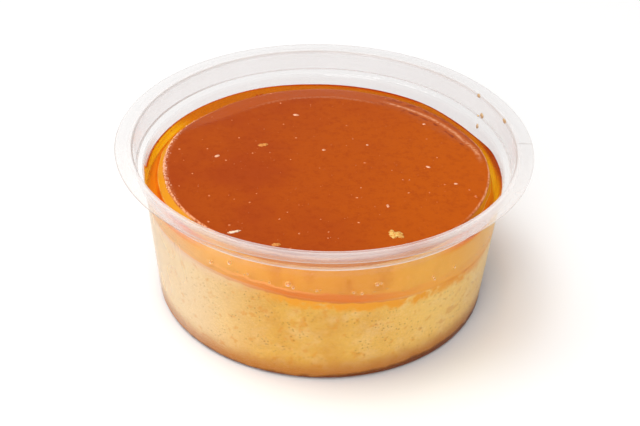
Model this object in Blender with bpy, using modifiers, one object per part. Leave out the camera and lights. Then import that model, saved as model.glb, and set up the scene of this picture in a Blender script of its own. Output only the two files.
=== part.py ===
"""A creme caramel flan in its clear round plastic tub.

The tub is a thin turned shell with a lid seat and a flat flange. The custard fills it to the wall
up to a slanting line, above which its side draws in to a crisp upper edge. A layer of soft caramel
covers the custard, and caramel sauce fills the wedge between the custard's side and the tub. On one side the top breaks at a crease and sags towards its edge.

Units are metres, +Z is up, and the origin is the middle of the tub's base.
"""

import math

import bmesh
import bpy
from mathutils import Vector

COLLECTION = "creme_caramel_flan"
SEGMENTS = 64
CLEARANCE = 0.0003
SEARCH_STEP = 0.00001
MERGE_DISTANCE = 0.00001

# Tub: a shell of one thickness, given by its outer skin.
SHELL = 0.00045
RIM_RADIUS = 0.0585
RIM_HEIGHT = 0.0477
FLANGE_FALL = 0.0002
SEAT_TOP_RADIUS = 0.0537
SEAT_FOOT_RADIUS = 0.0530
LEDGE_HEIGHT = 0.0413
LEDGE_FALL = 0.0004
WALL_TOP_RADIUS = 0.0512
WALL_FOOT_RADIUS = 0.0478
HEEL_RADIUS = 0.0015
FOOT_INNER_RADIUS = 0.0435
FLOOR_EDGE_RADIUS = 0.0425
FLOOR_RISE = 0.0008

# Flan: the custard with its caramel layer.
FLAN_RADIUS = 0.0463
FLAN_SHIFT = Vector((0.0008, 0.0005))
FLAN_HEIGHT = 0.0395
FLAN_EDGE_ROUNDING = 0.0008
FLAN_HEEL_ROUNDING = 0.0012
SIDE_BULGE = 0.0004
SAG_DEPTH = 0.00205
SAG_BEARING = math.radians(85.0)
SAG_SPREAD = (0.05, 0.65)
SAG_WIDTH_SHARE = 0.19
SAG_REACH_SHARE = 1.02
SAG_SOFTNESS = 0.12
CONTACT_HEIGHT = 0.0292
CONTACT_TILT = 0.0042
CONTACT_RIPPLE = 0.0003
CARAMEL_THICKNESS = 0.0022
TOP_RINGS = (0.94, 0.88, 0.82, 0.76, 0.52, 0.26)

# Sauce round the flan.
SAUCE_HEIGHT = 0.0371
SAUCE_TIP = 0.0005
SAUCE_LEVELS = 4

# Linear colour, roughness and opacity of each material.
FINISHES = {
    "tub": ((0.86, 0.85, 0.83), 0.12, 0.30),
    "custard": ((0.80, 0.50, 0.17), 0.45, 1.0),
    "caramel_top": ((0.52, 0.10, 0.012), 0.12, 1.0),
    "caramel_sauce": ((0.70, 0.22, 0.01), 0.08, 0.85),
}

ANGLES = [2.0 * math.pi * step / SEGMENTS for step in range(SEGMENTS)]


def clear_scene():
    for item in list(bpy.data.objects):
        bpy.data.objects.remove(item, do_unlink=True)


def blend(start, end, share):
    return start + (end - start) * share


def polar(angle, radius, height):
    return Vector((radius * math.cos(angle), radius * math.sin(angle), height))


# ---------------------------------------------------------------- sizes that vary round the flan

def wall_outer(height):
    """Radius of the tub wall's outer skin."""
    share = (height - HEEL_RADIUS) / (LEDGE_HEIGHT - SHELL - LEDGE_FALL - HEEL_RADIUS)
    return blend(WALL_FOOT_RADIUS, WALL_TOP_RADIUS, share)


def filling_radius(height):
    """Radius at which the contents meet the tub's inner skin."""
    return wall_outer(height) - SHELL - CLEARANCE


def edge_radius(angle):
    """Distance from the tub's axis to the flan's upper edge, whose circle lies off centre."""
    along = FLAN_SHIFT.x * math.cos(angle) + FLAN_SHIFT.y * math.sin(angle)
    across = FLAN_SHIFT.x * math.sin(angle) - FLAN_SHIFT.y * math.cos(angle)
    return along + math.sqrt(FLAN_RADIUS ** 2 - across ** 2)


def sagging(angle):
    """How much the flan's edge sags: 1 round its bearing, 0 on the far side."""
    start, end = SAG_SPREAD
    share = (math.cos(angle - SAG_BEARING) - start) / (end - start)
    share = min(max(share, 0.0), 1.0)
    return share * share * (3.0 - 2.0 * share)


def top_height(angle, radius):
    """The flan's top is level in to a crease, beyond which it slopes down to the sagging edge."""
    crease = 1.0 - SAG_WIDTH_SHARE * sagging(angle)
    outward = (radius / edge_radius(angle) - crease) / (SAG_REACH_SHARE - crease)
    ramp = 0.5 * (outward + math.hypot(outward, SAG_SOFTNESS))
    return FLAN_HEIGHT - SAG_DEPTH * sagging(angle) * ramp


def contact_height(angle):
    """Height up to which the custard touches the wall: higher at -X, slightly uneven."""
    ripple = math.sin(3.0 * angle + 0.8) + 0.6 * math.sin(7.0 * angle + 2.1)
    return CONTACT_HEIGHT - CONTACT_TILT * math.cos(angle) + CONTACT_RIPPLE * ripple


def side_top(angle):
    """Height at which the flan's side turns over into its rounded upper edge."""
    return top_height(angle, edge_radius(angle)) - FLAN_EDGE_ROUNDING


def side_radius(angle, height):
    """The flan's radius at a height, from the tub's wall up to the upper edge."""
    low = contact_height(angle)
    share = (height - low) / (side_top(angle) - low)
    if share <= 0.0:
        return filling_radius(height)
    share = min(share, 1.0)
    bulge = SIDE_BULGE * 4.0 * share * (1.0 - share)
    return blend(filling_radius(low), edge_radius(angle), share) + bulge


def layer_height(angle):
    """Height of the caramel layer's lower face at the flan's side."""
    return top_height(angle, edge_radius(angle)) - CARAMEL_THICKNESS


def sauce_foot(angle):
    """Lowest height at which the wedge is as wide as SAUCE_TIP, by halving."""
    low, high = contact_height(angle), SAUCE_HEIGHT
    while high - low > SEARCH_STEP:
        middle = 0.5 * (low + high)
        width = filling_radius(middle) - side_radius(angle, middle) - CLEARANCE
        if width < SAUCE_TIP:
            low = middle
        else:
            high = middle
    return high


# ---------------------------------------------------------------- mesh helpers

def ring(radius_of, height_of):
    return [polar(angle, radius_of(angle), height_of(angle)) for angle in ANGLES]


def heel_rings(corner_radius, heel, floor):
    """Rings of a rounded lower corner, from the floor up to where it meets the side."""
    turns = [math.radians(degrees) for degrees in (0, 30, 60, 90)]
    rings = []
    for turn in turns:
        radius = corner_radius - heel * (1.0 - math.sin(turn))
        height = floor + heel * (1.0 - math.cos(turn))
        rings.append([polar(angle, radius, height) for angle in ANGLES])
    return rings


def face_rings(drop, shares):
    """Rings across the flan, level with its top less a drop, at shares of its radius."""
    return [
        [polar(a, s * edge_radius(a), top_height(a, s * edge_radius(a)) - drop) for a in ANGLES]
        for s in shares
    ]


def skin(name, rings, closed_section=False):
    """Join rings into a solid. A ring of one point is a pole, and a closed section is a hoop."""
    body = bmesh.new()
    loops = [[body.verts.new(point) for point in points] for points in rings]
    pairs = list(zip(loops, loops[1:]))
    if closed_section:
        pairs.append((loops[-1], loops[0]))
    for low, high in pairs:
        for here in range(SEGMENTS):
            there = (here + 1) % SEGMENTS
            corners = (
                low[here % len(low)], low[there % len(low)],
                high[there % len(high)], high[here % len(high)],
            )
            body.faces.new(list(dict.fromkeys(corners)))
    bmesh.ops.recalc_face_normals(body, faces=body.faces)
    mesh = bpy.data.meshes.new(name)
    body.to_mesh(mesh)
    body.free()
    return mesh


def finish(name, mesh, sharp_degrees=35.0):
    """Put a mesh in the scene as a smooth-shaded object with its own material."""
    color, roughness, opacity = FINISHES[name]
    material = bpy.data.materials.new(name)
    material.use_nodes = True
    shader = material.node_tree.nodes["Principled BSDF"]
    shader.inputs["Base Color"].default_value = (*color, 1.0)
    shader.inputs["Roughness"].default_value = roughness
    shader.inputs["Metallic"].default_value = 0.0
    shader.inputs["Alpha"].default_value = opacity
    mesh.materials.append(material)
    if mesh.polygons:
        mesh.shade_smooth()
        mesh.set_sharp_from_angle(angle=math.radians(sharp_degrees))
    item = bpy.data.objects.new(name, mesh)
    bpy.data.collections[COLLECTION].objects.link(item)
    return item


# ---------------------------------------------------------------- pieces

def tub_profile():
    """The tub's outer skin from the flange's outer edge, down and in to the axis."""
    under_ledge = LEDGE_HEIGHT - SHELL
    points = [
        (RIM_RADIUS, RIM_HEIGHT - FLANGE_FALL - SHELL),
        (SEAT_TOP_RADIUS + SHELL, RIM_HEIGHT - SHELL),
        (SEAT_FOOT_RADIUS + SHELL, under_ledge),
        (WALL_TOP_RADIUS, under_ledge - LEDGE_FALL),
    ]
    for degrees in (0, 22.5, 45, 67.5, 90):
        turn = math.radians(degrees)
        radius = WALL_FOOT_RADIUS - HEEL_RADIUS * (1.0 - math.cos(turn))
        points.append((radius, HEEL_RADIUS * (1.0 - math.sin(turn))))
    points += [
        (FOOT_INNER_RADIUS, 0.0),
        (FLOOR_EDGE_RADIUS, FLOOR_RISE),
        (0.0, FLOOR_RISE),
    ]
    return points


def make_tub():
    """The tub, turned from its profile and given its thickness inwards and upwards."""
    outline = tub_profile()
    mesh = bpy.data.meshes.new("tub")
    edges = [(index, index + 1) for index in range(len(outline) - 1)]
    mesh.from_pydata([(radius, 0.0, height) for radius, height in outline], edges, [])
    tub = finish("tub", mesh)

    turning = tub.modifiers.new("turning", "SCREW")
    turning.axis = "Z"
    turning.angle = 2.0 * math.pi
    turning.steps = SEGMENTS
    turning.render_steps = SEGMENTS
    turning.use_merge_vertices = True
    turning.merge_threshold = MERGE_DISTANCE
    turning.use_smooth_shade = True

    shell = tub.modifiers.new("shell", "SOLIDIFY")
    shell.thickness = SHELL
    shell.offset = -1.0
    shell.use_even_offset = True
    return tub


def make_custard():
    """The set custard, up to the underside of the caramel layer."""
    floor = FLOOR_RISE + SHELL + CLEARANCE
    heel_top = floor + FLAN_HEEL_ROUNDING
    under = CARAMEL_THICKNESS + CLEARANCE

    rings = [[Vector((0.0, 0.0, floor))]]
    rings += heel_rings(filling_radius(heel_top), FLAN_HEEL_ROUNDING, floor)
    rings.append(ring(lambda a: filling_radius(contact_height(a)), contact_height))
    for share in (0.33, 0.67, 1.0):
        def height(a, s=share):
            return blend(contact_height(a), layer_height(a) - CLEARANCE, s)
        rings.append(ring(lambda a: side_radius(a, height(a)), height))
    rings += face_rings(under, TOP_RINGS)
    rings.append([Vector((0.0, 0.0, FLAN_HEIGHT - under))])
    return finish("custard", skin("custard", rings))


def make_caramel_top():
    """The soft caramel layer, which carries the flan's crisp upper edge."""
    rings = [[Vector((0.0, 0.0, FLAN_HEIGHT - CARAMEL_THICKNESS))]]
    rings += face_rings(CARAMEL_THICKNESS, reversed(TOP_RINGS))
    rings.append(ring(lambda a: side_radius(a, layer_height(a)), layer_height))
    for degrees in (0, 45, 90):
        turn = math.radians(degrees)
        inset = FLAN_EDGE_ROUNDING * (1.0 - math.cos(turn))
        lift = FLAN_EDGE_ROUNDING * math.sin(turn)
        rings.append(ring(lambda a: edge_radius(a) - inset, lambda a: side_top(a) + lift))
    rings += face_rings(0.0, TOP_RINGS)
    rings.append([Vector((0.0, 0.0, FLAN_HEIGHT))])
    return finish("caramel_top", skin("caramel_top", rings))


def make_caramel_sauce():
    """The sauce in the wedge between the flan's side and the wall, level on top."""
    inner = []
    outer = []
    for step in range(SAUCE_LEVELS):
        def height(a, s=step / (SAUCE_LEVELS - 1)):
            return blend(sauce_foot(a), SAUCE_HEIGHT, s)
        inner.append(ring(lambda a: side_radius(a, height(a)) + CLEARANCE, height))
        outer.append(ring(lambda a: filling_radius(height(a)), height))
    rings = inner + outer[::-1]
    return finish("caramel_sauce", skin("caramel_sauce", rings, closed_section=True))


def main():
    clear_scene()
    collection = bpy.data.collections.new(COLLECTION)
    bpy.context.scene.collection.children.link(collection)
    make_tub()
    make_custard()
    make_caramel_top()
    make_caramel_sauce()


main()
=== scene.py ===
"""Looks of a creme caramel flan in a clear tub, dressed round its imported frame.

Every piece is modelled in metres in the frame's own axes: +Z up, the tub's base centred on the
origin, and -Y towards the side that is shown.
"""

import logging
import math
import random
from dataclasses import dataclass, field
from enum import Enum
from typing import Callable, Iterable, Sequence

import bmesh
import bpy
from mathutils import Matrix, Vector, noise

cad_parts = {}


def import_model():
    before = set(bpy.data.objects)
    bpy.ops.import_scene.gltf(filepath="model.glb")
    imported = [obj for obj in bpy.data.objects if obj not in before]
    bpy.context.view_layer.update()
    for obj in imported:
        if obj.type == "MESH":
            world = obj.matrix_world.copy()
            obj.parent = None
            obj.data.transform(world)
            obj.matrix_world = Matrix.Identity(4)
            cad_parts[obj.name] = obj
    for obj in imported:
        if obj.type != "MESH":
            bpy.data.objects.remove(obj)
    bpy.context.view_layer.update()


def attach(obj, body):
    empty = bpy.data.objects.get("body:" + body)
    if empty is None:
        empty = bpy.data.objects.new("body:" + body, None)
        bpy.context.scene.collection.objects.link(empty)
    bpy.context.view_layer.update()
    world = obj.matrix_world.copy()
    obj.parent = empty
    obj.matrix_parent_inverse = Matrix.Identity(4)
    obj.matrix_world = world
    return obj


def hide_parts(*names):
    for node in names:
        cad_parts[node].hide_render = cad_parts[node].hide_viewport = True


LOG = logging.getLogger("flan")

MM = 0.001
WHITE = (1.0, 1.0, 1.0, 1.0)
BODY = "root"

Radial = Callable[[float], float]


class Slot(Enum):
    """The record's material slots."""

    PLASTIC = "clear_plastic"
    CUSTARD = "custard"
    CARAMEL = "caramel"
    SAUCE = "sauce"


class Side(Enum):
    """What closes the first ring of a turned piece."""

    OPEN = "NOTHING"
    CAPPED = "TRIFAN"


# ------------------------------------------------------------------ small helpers


def blend(start: float, end: float, share: float) -> float:
    """Go a share of the way from start to end."""
    return start + (end - start) * share


def clamp(value: float, low: float = 0.0, high: float = 1.0) -> float:
    """Keep a value between two limits."""
    return min(max(value, low), high)


def ease(low: float, high: float, value: float) -> float:
    """Rise smoothly from 0 at low to 1 at high.

    Args:
        low: where the rise starts.
        high: where it ends.
        value: where it is read.

    Returns:
        A share from 0 to 1.
    """
    share = clamp((value - low) / (high - low))
    return share * share * (3.0 - 2.0 * share)


def fade(low: float, high: float, value: float) -> float:
    """Fall smoothly from 1 at low to 0 at high."""
    return 1.0 - ease(low, high, value)


def near(core: float, reach: float, distance: float) -> float:
    """1 within a core distance of a line, and falling to 0 at its reach on both sides."""
    return fade(core, reach, abs(distance))


def polar(bearing: float, radius: float, height: float) -> Vector:
    """Place a point by its bearing round the tub's axis, its radius and its height."""
    return Vector((radius * math.cos(bearing), radius * math.sin(bearing), height))


def bearing_of(point: Vector) -> float:
    """Read a point's bearing round the tub's axis."""
    return math.atan2(point.y, point.x)


def radius_of(point: Vector) -> float:
    """Read a point's distance from the tub's axis."""
    return math.hypot(point.x, point.y)


def toward(bearing: float, degrees: float) -> float:
    """How nearly a bearing points in a direction.

    Args:
        bearing: the bearing in radians.
        degrees: the direction in degrees.

    Returns:
        1 along the direction, 0 across it and -1 away from it.
    """
    return math.cos(bearing - math.radians(degrees))


def swing(start: float, end: float, bearing: float) -> float:
    """Rise smoothly from 0 to 1 between two bearings given in degrees."""
    return ease(math.radians(start), math.radians(end), bearing)


def stretch(rise: tuple, fall: tuple, bearing: float) -> float:
    """1 on a stretch round the axis and 0 off it, with soft ends.

    Args:
        rise: the two bearings in degrees between which the stretch starts.
        fall: the two between which it ends.
        bearing: where it is read, in radians.

    Returns:
        A share from 0 to 1.
    """
    return swing(*rise, bearing) * (1.0 - swing(*fall, bearing))


def linear(red: int, green: int, blue: int) -> tuple:
    """Turn a screen colour from 0 to 255 into the linear colour that a shader takes.

    Args:
        red: its red.
        green: its green.
        blue: its blue.

    Returns:
        The linear red, green and blue, with full opacity.
    """
    def channel(value: float) -> float:
        """One of its channels."""
        value /= 255.0
        return value / 12.92 if value <= 0.04045 else ((value + 0.055) / 1.055) ** 2.4
    return (channel(red), channel(green), channel(blue), 1.0)


def waviness(bearing: float, radius: float, height: float, grain: float, seed: float) -> float:
    """Read smooth noise at a place round the tub.

    Args:
        bearing: angle round the axis.
        radius: distance from the axis.
        height: height above the base.
        grain: size of the noise's waves in metres.
        seed: shift that gives another pattern.

    Returns:
        A value from about -1 to 1.
    """
    place = polar(bearing, radius, height) / grain
    return noise.noise(place + Vector((seed, seed * 1.7, seed * 0.3)))


def wander(bearing: float, size: float, waves: float) -> float:
    """Let a line that runs round the flan wander in and out.

    Args:
        bearing: angle round the axis.
        size: how far it wanders.
        waves: how closely its waves follow each other.

    Returns:
        The wander at the bearing, from about -size to size.
    """
    return size * noise.noise(Vector((math.cos(bearing), math.sin(bearing), 0.4)) * waves)


# ------------------------------------------------------------------ the flan's measures


@dataclass(frozen=True)
class Measures:
    """Sizes of the tub and its filling.

    They are the frame's own, with a few small steps away from it that only the looks take: the
    rim's tilt, the ledge's and the corner's tuck, the thin brim and the wetting of the wall.
    """

    shell: float = 0.45 * MM
    rim_radius: float = 58.5 * MM
    rim_height: float = 47.7 * MM
    flange_fall: float = 0.2 * MM
    rim_tilt: float = 0.55 * MM
    ledge_tuck: tuple = (0.60 * MM, 0.50 * MM, 0.20 * MM)
    corner_tuck: float = 0.45 * MM
    brim_thickness: float = 0.18 * MM
    seat_top_radius: float = 53.7 * MM
    seat_foot_radius: float = 53.0 * MM
    ledge_height: float = 41.3 * MM
    ledge_fall: float = 0.4 * MM
    wall_top_radius: float = 51.2 * MM
    wall_foot_radius: float = 47.8 * MM
    heel_radius: float = 1.5 * MM
    foot_inner_radius: float = 43.5 * MM
    floor_edge_radius: float = 42.5 * MM
    floor_rise: float = 0.8 * MM
    flan_radius: float = 46.3 * MM
    flan_shift: tuple = (0.8 * MM, 0.5 * MM)
    flan_height: float = 39.5 * MM
    edge_rounding: float = 0.8 * MM
    side_bulge: float = 0.4 * MM
    sag_depth: float = 2.05 * MM
    sag_bearing: float = math.radians(85.0)
    sag_spread: tuple = (0.05, 0.65)
    sag_width_share: float = 0.19
    sag_softness: float = 0.12
    sag_reach_share: float = 1.02
    contact_height: float = 29.2 * MM
    contact_tilt: float = 4.2 * MM
    contact_ripple: float = 0.3 * MM
    caramel_thickness: float = 2.2 * MM
    sauce_height: float = 37.1 * MM
    wetting: float = 0.25 * MM

    def wall_outer(self, height: float) -> float:
        """Radius of the wall's outer skin at a height.

        Args:
            height: height above the base.

        Returns:
            The radius.
        """
        top = self.ledge_height - self.shell - self.ledge_fall
        share = (height - self.heel_radius) / (top - self.heel_radius)
        return blend(self.wall_foot_radius, self.wall_top_radius, share)

    def filling(self, height: float) -> float:
        """Radius out to which the contents go, which is just inside the wall's thickness."""
        return self.wall_outer(height) - self.shell + self.wetting

    def edge(self, bearing: float) -> float:
        """Distance from the tub's axis to the flan's upper edge, whose circle is off centre.

        Args:
            bearing: angle round the axis, in radians.

        Returns:
            The distance.
        """
        east, north = self.flan_shift
        along = east * math.cos(bearing) + north * math.sin(bearing)
        across = east * math.sin(bearing) - north * math.cos(bearing)
        return along + math.sqrt(self.flan_radius ** 2 - across ** 2)

    def sagging(self, bearing: float) -> float:
        """How much of the full sag the flan's edge has at a bearing, from 0 to 1."""
        return ease(*self.sag_spread, math.cos(bearing - self.sag_bearing))

    def crease(self, bearing: float) -> float:
        """Share of the radius at which the flat top breaks down towards its sagging edge."""
        return 1.0 - self.sag_width_share * self.sagging(bearing)

    def top(self, bearing: float, radius: float) -> float:
        """Height of the flan's top, which breaks down at a crease round its sagging side.

        Args:
            bearing: angle round the axis, in radians.
            radius: distance from the axis.

        Returns:
            The height.
        """
        crease = self.crease(bearing)
        outward = (radius / self.edge(bearing) - crease) / (self.sag_reach_share - crease)
        drop = 0.5 * (outward + math.hypot(outward, self.sag_softness))
        return self.flan_height - self.sag_depth * self.sagging(bearing) * drop

    def contact(self, bearing: float) -> float:
        """Height up to which the custard touches the wall.

        Args:
            bearing: angle round the axis, in radians.

        Returns:
            The height.
        """
        ripple = math.sin(3.0 * bearing + 0.8) + 0.6 * math.sin(7.0 * bearing + 2.1)
        tilt = self.contact_tilt * math.cos(bearing)
        return self.contact_height - tilt + self.contact_ripple * ripple

    def side_top(self, bearing: float) -> float:
        """Height at which the flan's side turns over into its rounded edge."""
        return self.top(bearing, self.edge(bearing)) - self.edge_rounding

    def side(self, bearing: float, height: float) -> float:
        """The flan's radius at a height.

        Args:
            bearing: angle round the axis, in radians.
            height: height above the base.

        Returns:
            The radius.
        """
        low = self.contact(bearing)
        share = (height - low) / (self.side_top(bearing) - low)
        if share <= 0.0:
            return self.filling(height)
        share = min(share, 1.0)
        bulge = self.side_bulge * 4.0 * share * (1.0 - share)
        return blend(self.filling(low), self.edge(bearing), share) + bulge

    def layer(self, bearing: float) -> float:
        """Height of the caramel layer's lower face at the flan's side."""
        return self.top(bearing, self.edge(bearing)) - self.caramel_thickness


# ------------------------------------------------------------------ modelling by hand


def let_go() -> None:
    """Deselect every object."""
    for item in bpy.context.selected_objects:
        item.select_set(False)


def pick(item: bpy.types.Object) -> None:
    """Make one object the selected and active one.

    Args:
        item: the object.
    """
    let_go()
    item.select_set(True)
    bpy.context.view_layer.objects.active = item


def seat(item: bpy.types.Object) -> None:
    """Put an object's place, turn and scale into its mesh."""
    pick(item)
    bpy.ops.object.transform_apply(location=True, rotation=True, scale=True)


def modify(item: bpy.types.Object, kind: str, **settings: object) -> None:
    """Add a modifier with its settings and apply it.

    Args:
        item: the object.
        kind: the modifier's type.
        settings: its settings by name.
    """
    pick(item)
    modifier = item.modifiers.new(kind.lower(), kind)
    for name, value in settings.items():
        setattr(modifier, name, value)
    bpy.ops.object.modifier_apply(modifier=modifier.name)


def smooth(item: bpy.types.Object, degrees: float = 40.0) -> None:
    """Shade an object smooth, with edges sharper than an angle left crisp."""
    pick(item)
    bpy.ops.object.shade_smooth_by_angle(angle=math.radians(degrees))


@dataclass(frozen=True)
class Ring:
    """One ring of a turned piece, whose radius and height may vary round the axis."""

    radius: Radial
    height: Radial

    @staticmethod
    def plain(radius: float, height: float) -> "Ring":
        """A true circle at one height."""
        return Ring(lambda _: radius, lambda _: height)


def rising(count: int, low: Radial, high: Radial, radius: Callable[[float, float], float],
           first: int = 1) -> list:
    """Rings that go in even steps from one line round a piece to another.

    Args:
        count: number of steps.
        low: height of the line that they leave, by bearing.
        high: height of the line that they reach, by bearing.
        radius: radius by bearing and height.
        first: the first step that has a ring, or 0 for a ring on the line that they leave.

    Returns:
        The rings in order.
    """
    rings = []
    for step in range(first, count + 1):
        def height(bearing: float, share: float = step / count) -> float:
            """Height of this step."""
            return blend(low(bearing), high(bearing), share)
        rings.append(Ring(lambda b, h=height: radius(b, h(b)), height))
    return rings


def turn_rings(name: str, rings: Sequence[Ring], segments: int, start: Side, end: Side,
               hoop: bool = False) -> bpy.types.Object:
    """Model a turned piece as by hand: a circle, extruded ring by ring and drawn to shape.

    Args:
        name: the piece's name.
        rings: its rings in order.
        segments: points round each ring.
        start: what closes the first ring.
        end: what closes the last ring.
        hoop: whether the last ring is bridged to the first.

    Returns:
        The object, with its faces outwards.
    """
    let_go()
    first = rings[0]
    bpy.ops.mesh.primitive_circle_add(
        vertices=segments, radius=first.radius(0.0), fill_type=start.value,
        location=(0.0, 0.0, first.height(0.0)),
    )
    piece = bpy.context.active_object
    piece.name = name
    piece.data.name = name
    seat(piece)
    bpy.ops.object.mode_set(mode="EDIT")
    bpy.ops.mesh.select_mode(type="EDGE")
    bpy.ops.mesh.select_all(action="DESELECT")
    body = bmesh.from_edit_mesh(piece.data)
    for edge in body.edges:
        edge.select_set(hoop or edge.is_boundary or edge.is_wire)
    draw_ring(body, first)
    for ring in rings[1:]:
        bpy.ops.mesh.extrude_region_move(TRANSFORM_OT_translate={"value": (0.0, 0.0, 0.0)})
        body = bmesh.from_edit_mesh(piece.data)
        draw_ring(body, ring)
    bmesh.update_edit_mesh(piece.data)
    if end is Side.CAPPED:
        bpy.ops.mesh.extrude_region_move(TRANSFORM_OT_translate={"value": (0.0, 0.0, 0.0)})
        bpy.ops.mesh.merge(type="CENTER")
    if hoop:
        body = bmesh.from_edit_mesh(piece.data)
        for edge in body.edges:
            edge.select_set(edge.is_boundary)
        bmesh.update_edit_mesh(piece.data)
        bpy.ops.mesh.bridge_edge_loops()
    bpy.ops.mesh.select_all(action="SELECT")
    bpy.ops.mesh.normals_make_consistent(inside=False)
    bpy.ops.object.mode_set(mode="OBJECT")
    return piece


def draw_ring(body: bmesh.types.BMesh, ring: Ring) -> None:
    """Draw the selected points out to a ring, each along its own bearing.

    Args:
        body: the mesh in edit mode.
        ring: the ring to draw.
    """
    for point in body.verts:
        if point.select:
            bearing = bearing_of(point.co)
            point.co = polar(bearing, ring.radius(bearing), ring.height(bearing))


def join(name: str, items: Sequence[bpy.types.Object]) -> bpy.types.Object:
    """Join copies of one template into a single piece.

    Args:
        name: the piece's name.
        items: the copies, each with its own mesh.

    Returns:
        The joined object, with its place in its mesh.
    """
    let_go()
    for item in items:
        item.select_set(True)
    bpy.context.view_layer.objects.active = items[0]
    bpy.ops.object.join()
    piece = bpy.context.active_object
    piece.name = name
    piece.data.name = name
    seat(piece)
    return piece


def copies(template: bpy.types.Object, places: Iterable[Matrix]) -> list:
    """Copy a template to each place, each copy with its own mesh, and drop the template.

    Args:
        template: the modelled shape, at the origin.
        places: where the copies go.

    Returns:
        The copies.
    """
    made = []
    for place in places:
        item = template.copy()
        item.data = template.data.copy()
        item.matrix_world = place
        bpy.context.scene.collection.objects.link(item)
        made.append(item)
    bpy.data.objects.remove(template, do_unlink=True)
    return made


def store(item: bpy.types.Object, **readings: Callable[[Vector], float]) -> None:
    """Store values on each point of a piece, for its material to read.

    Args:
        item: the piece.
        readings: what gives each value at a point, by the value's name.
    """
    for name, value_at in readings.items():
        layer = item.data.attributes.new(name, "FLOAT", "POINT")
        layer.data.foreach_set("value", [value_at(point.co) for point in item.data.vertices])


def dress(item: bpy.types.Object, material: bpy.types.Material, slot: Slot,
          replaced: Sequence[str] = ()) -> None:
    """Give a piece its finish and tie it to the frame.

    Args:
        item: the finished piece.
        material: its finish.
        slot: the record's slot that the finish stands for, which is only logged.
        replaced: the frame's nodes that it stands for.
    """
    item.data.materials.clear()
    item.data.materials.append(material)
    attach(item, BODY)
    if replaced:
        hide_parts(*replaced)
    LOG.info("%s: %d points, slot %s", item.name, len(item.data.vertices), slot.value)


# ------------------------------------------------------------------ finishes


@dataclass(frozen=True)
class Patches:
    """Patches of noise: their waves per metre, and the values between which they rise."""

    scale: float
    detail: float
    low: float
    high: float
    roughness: float = 0.55
    shift: float = 0.0


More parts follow.
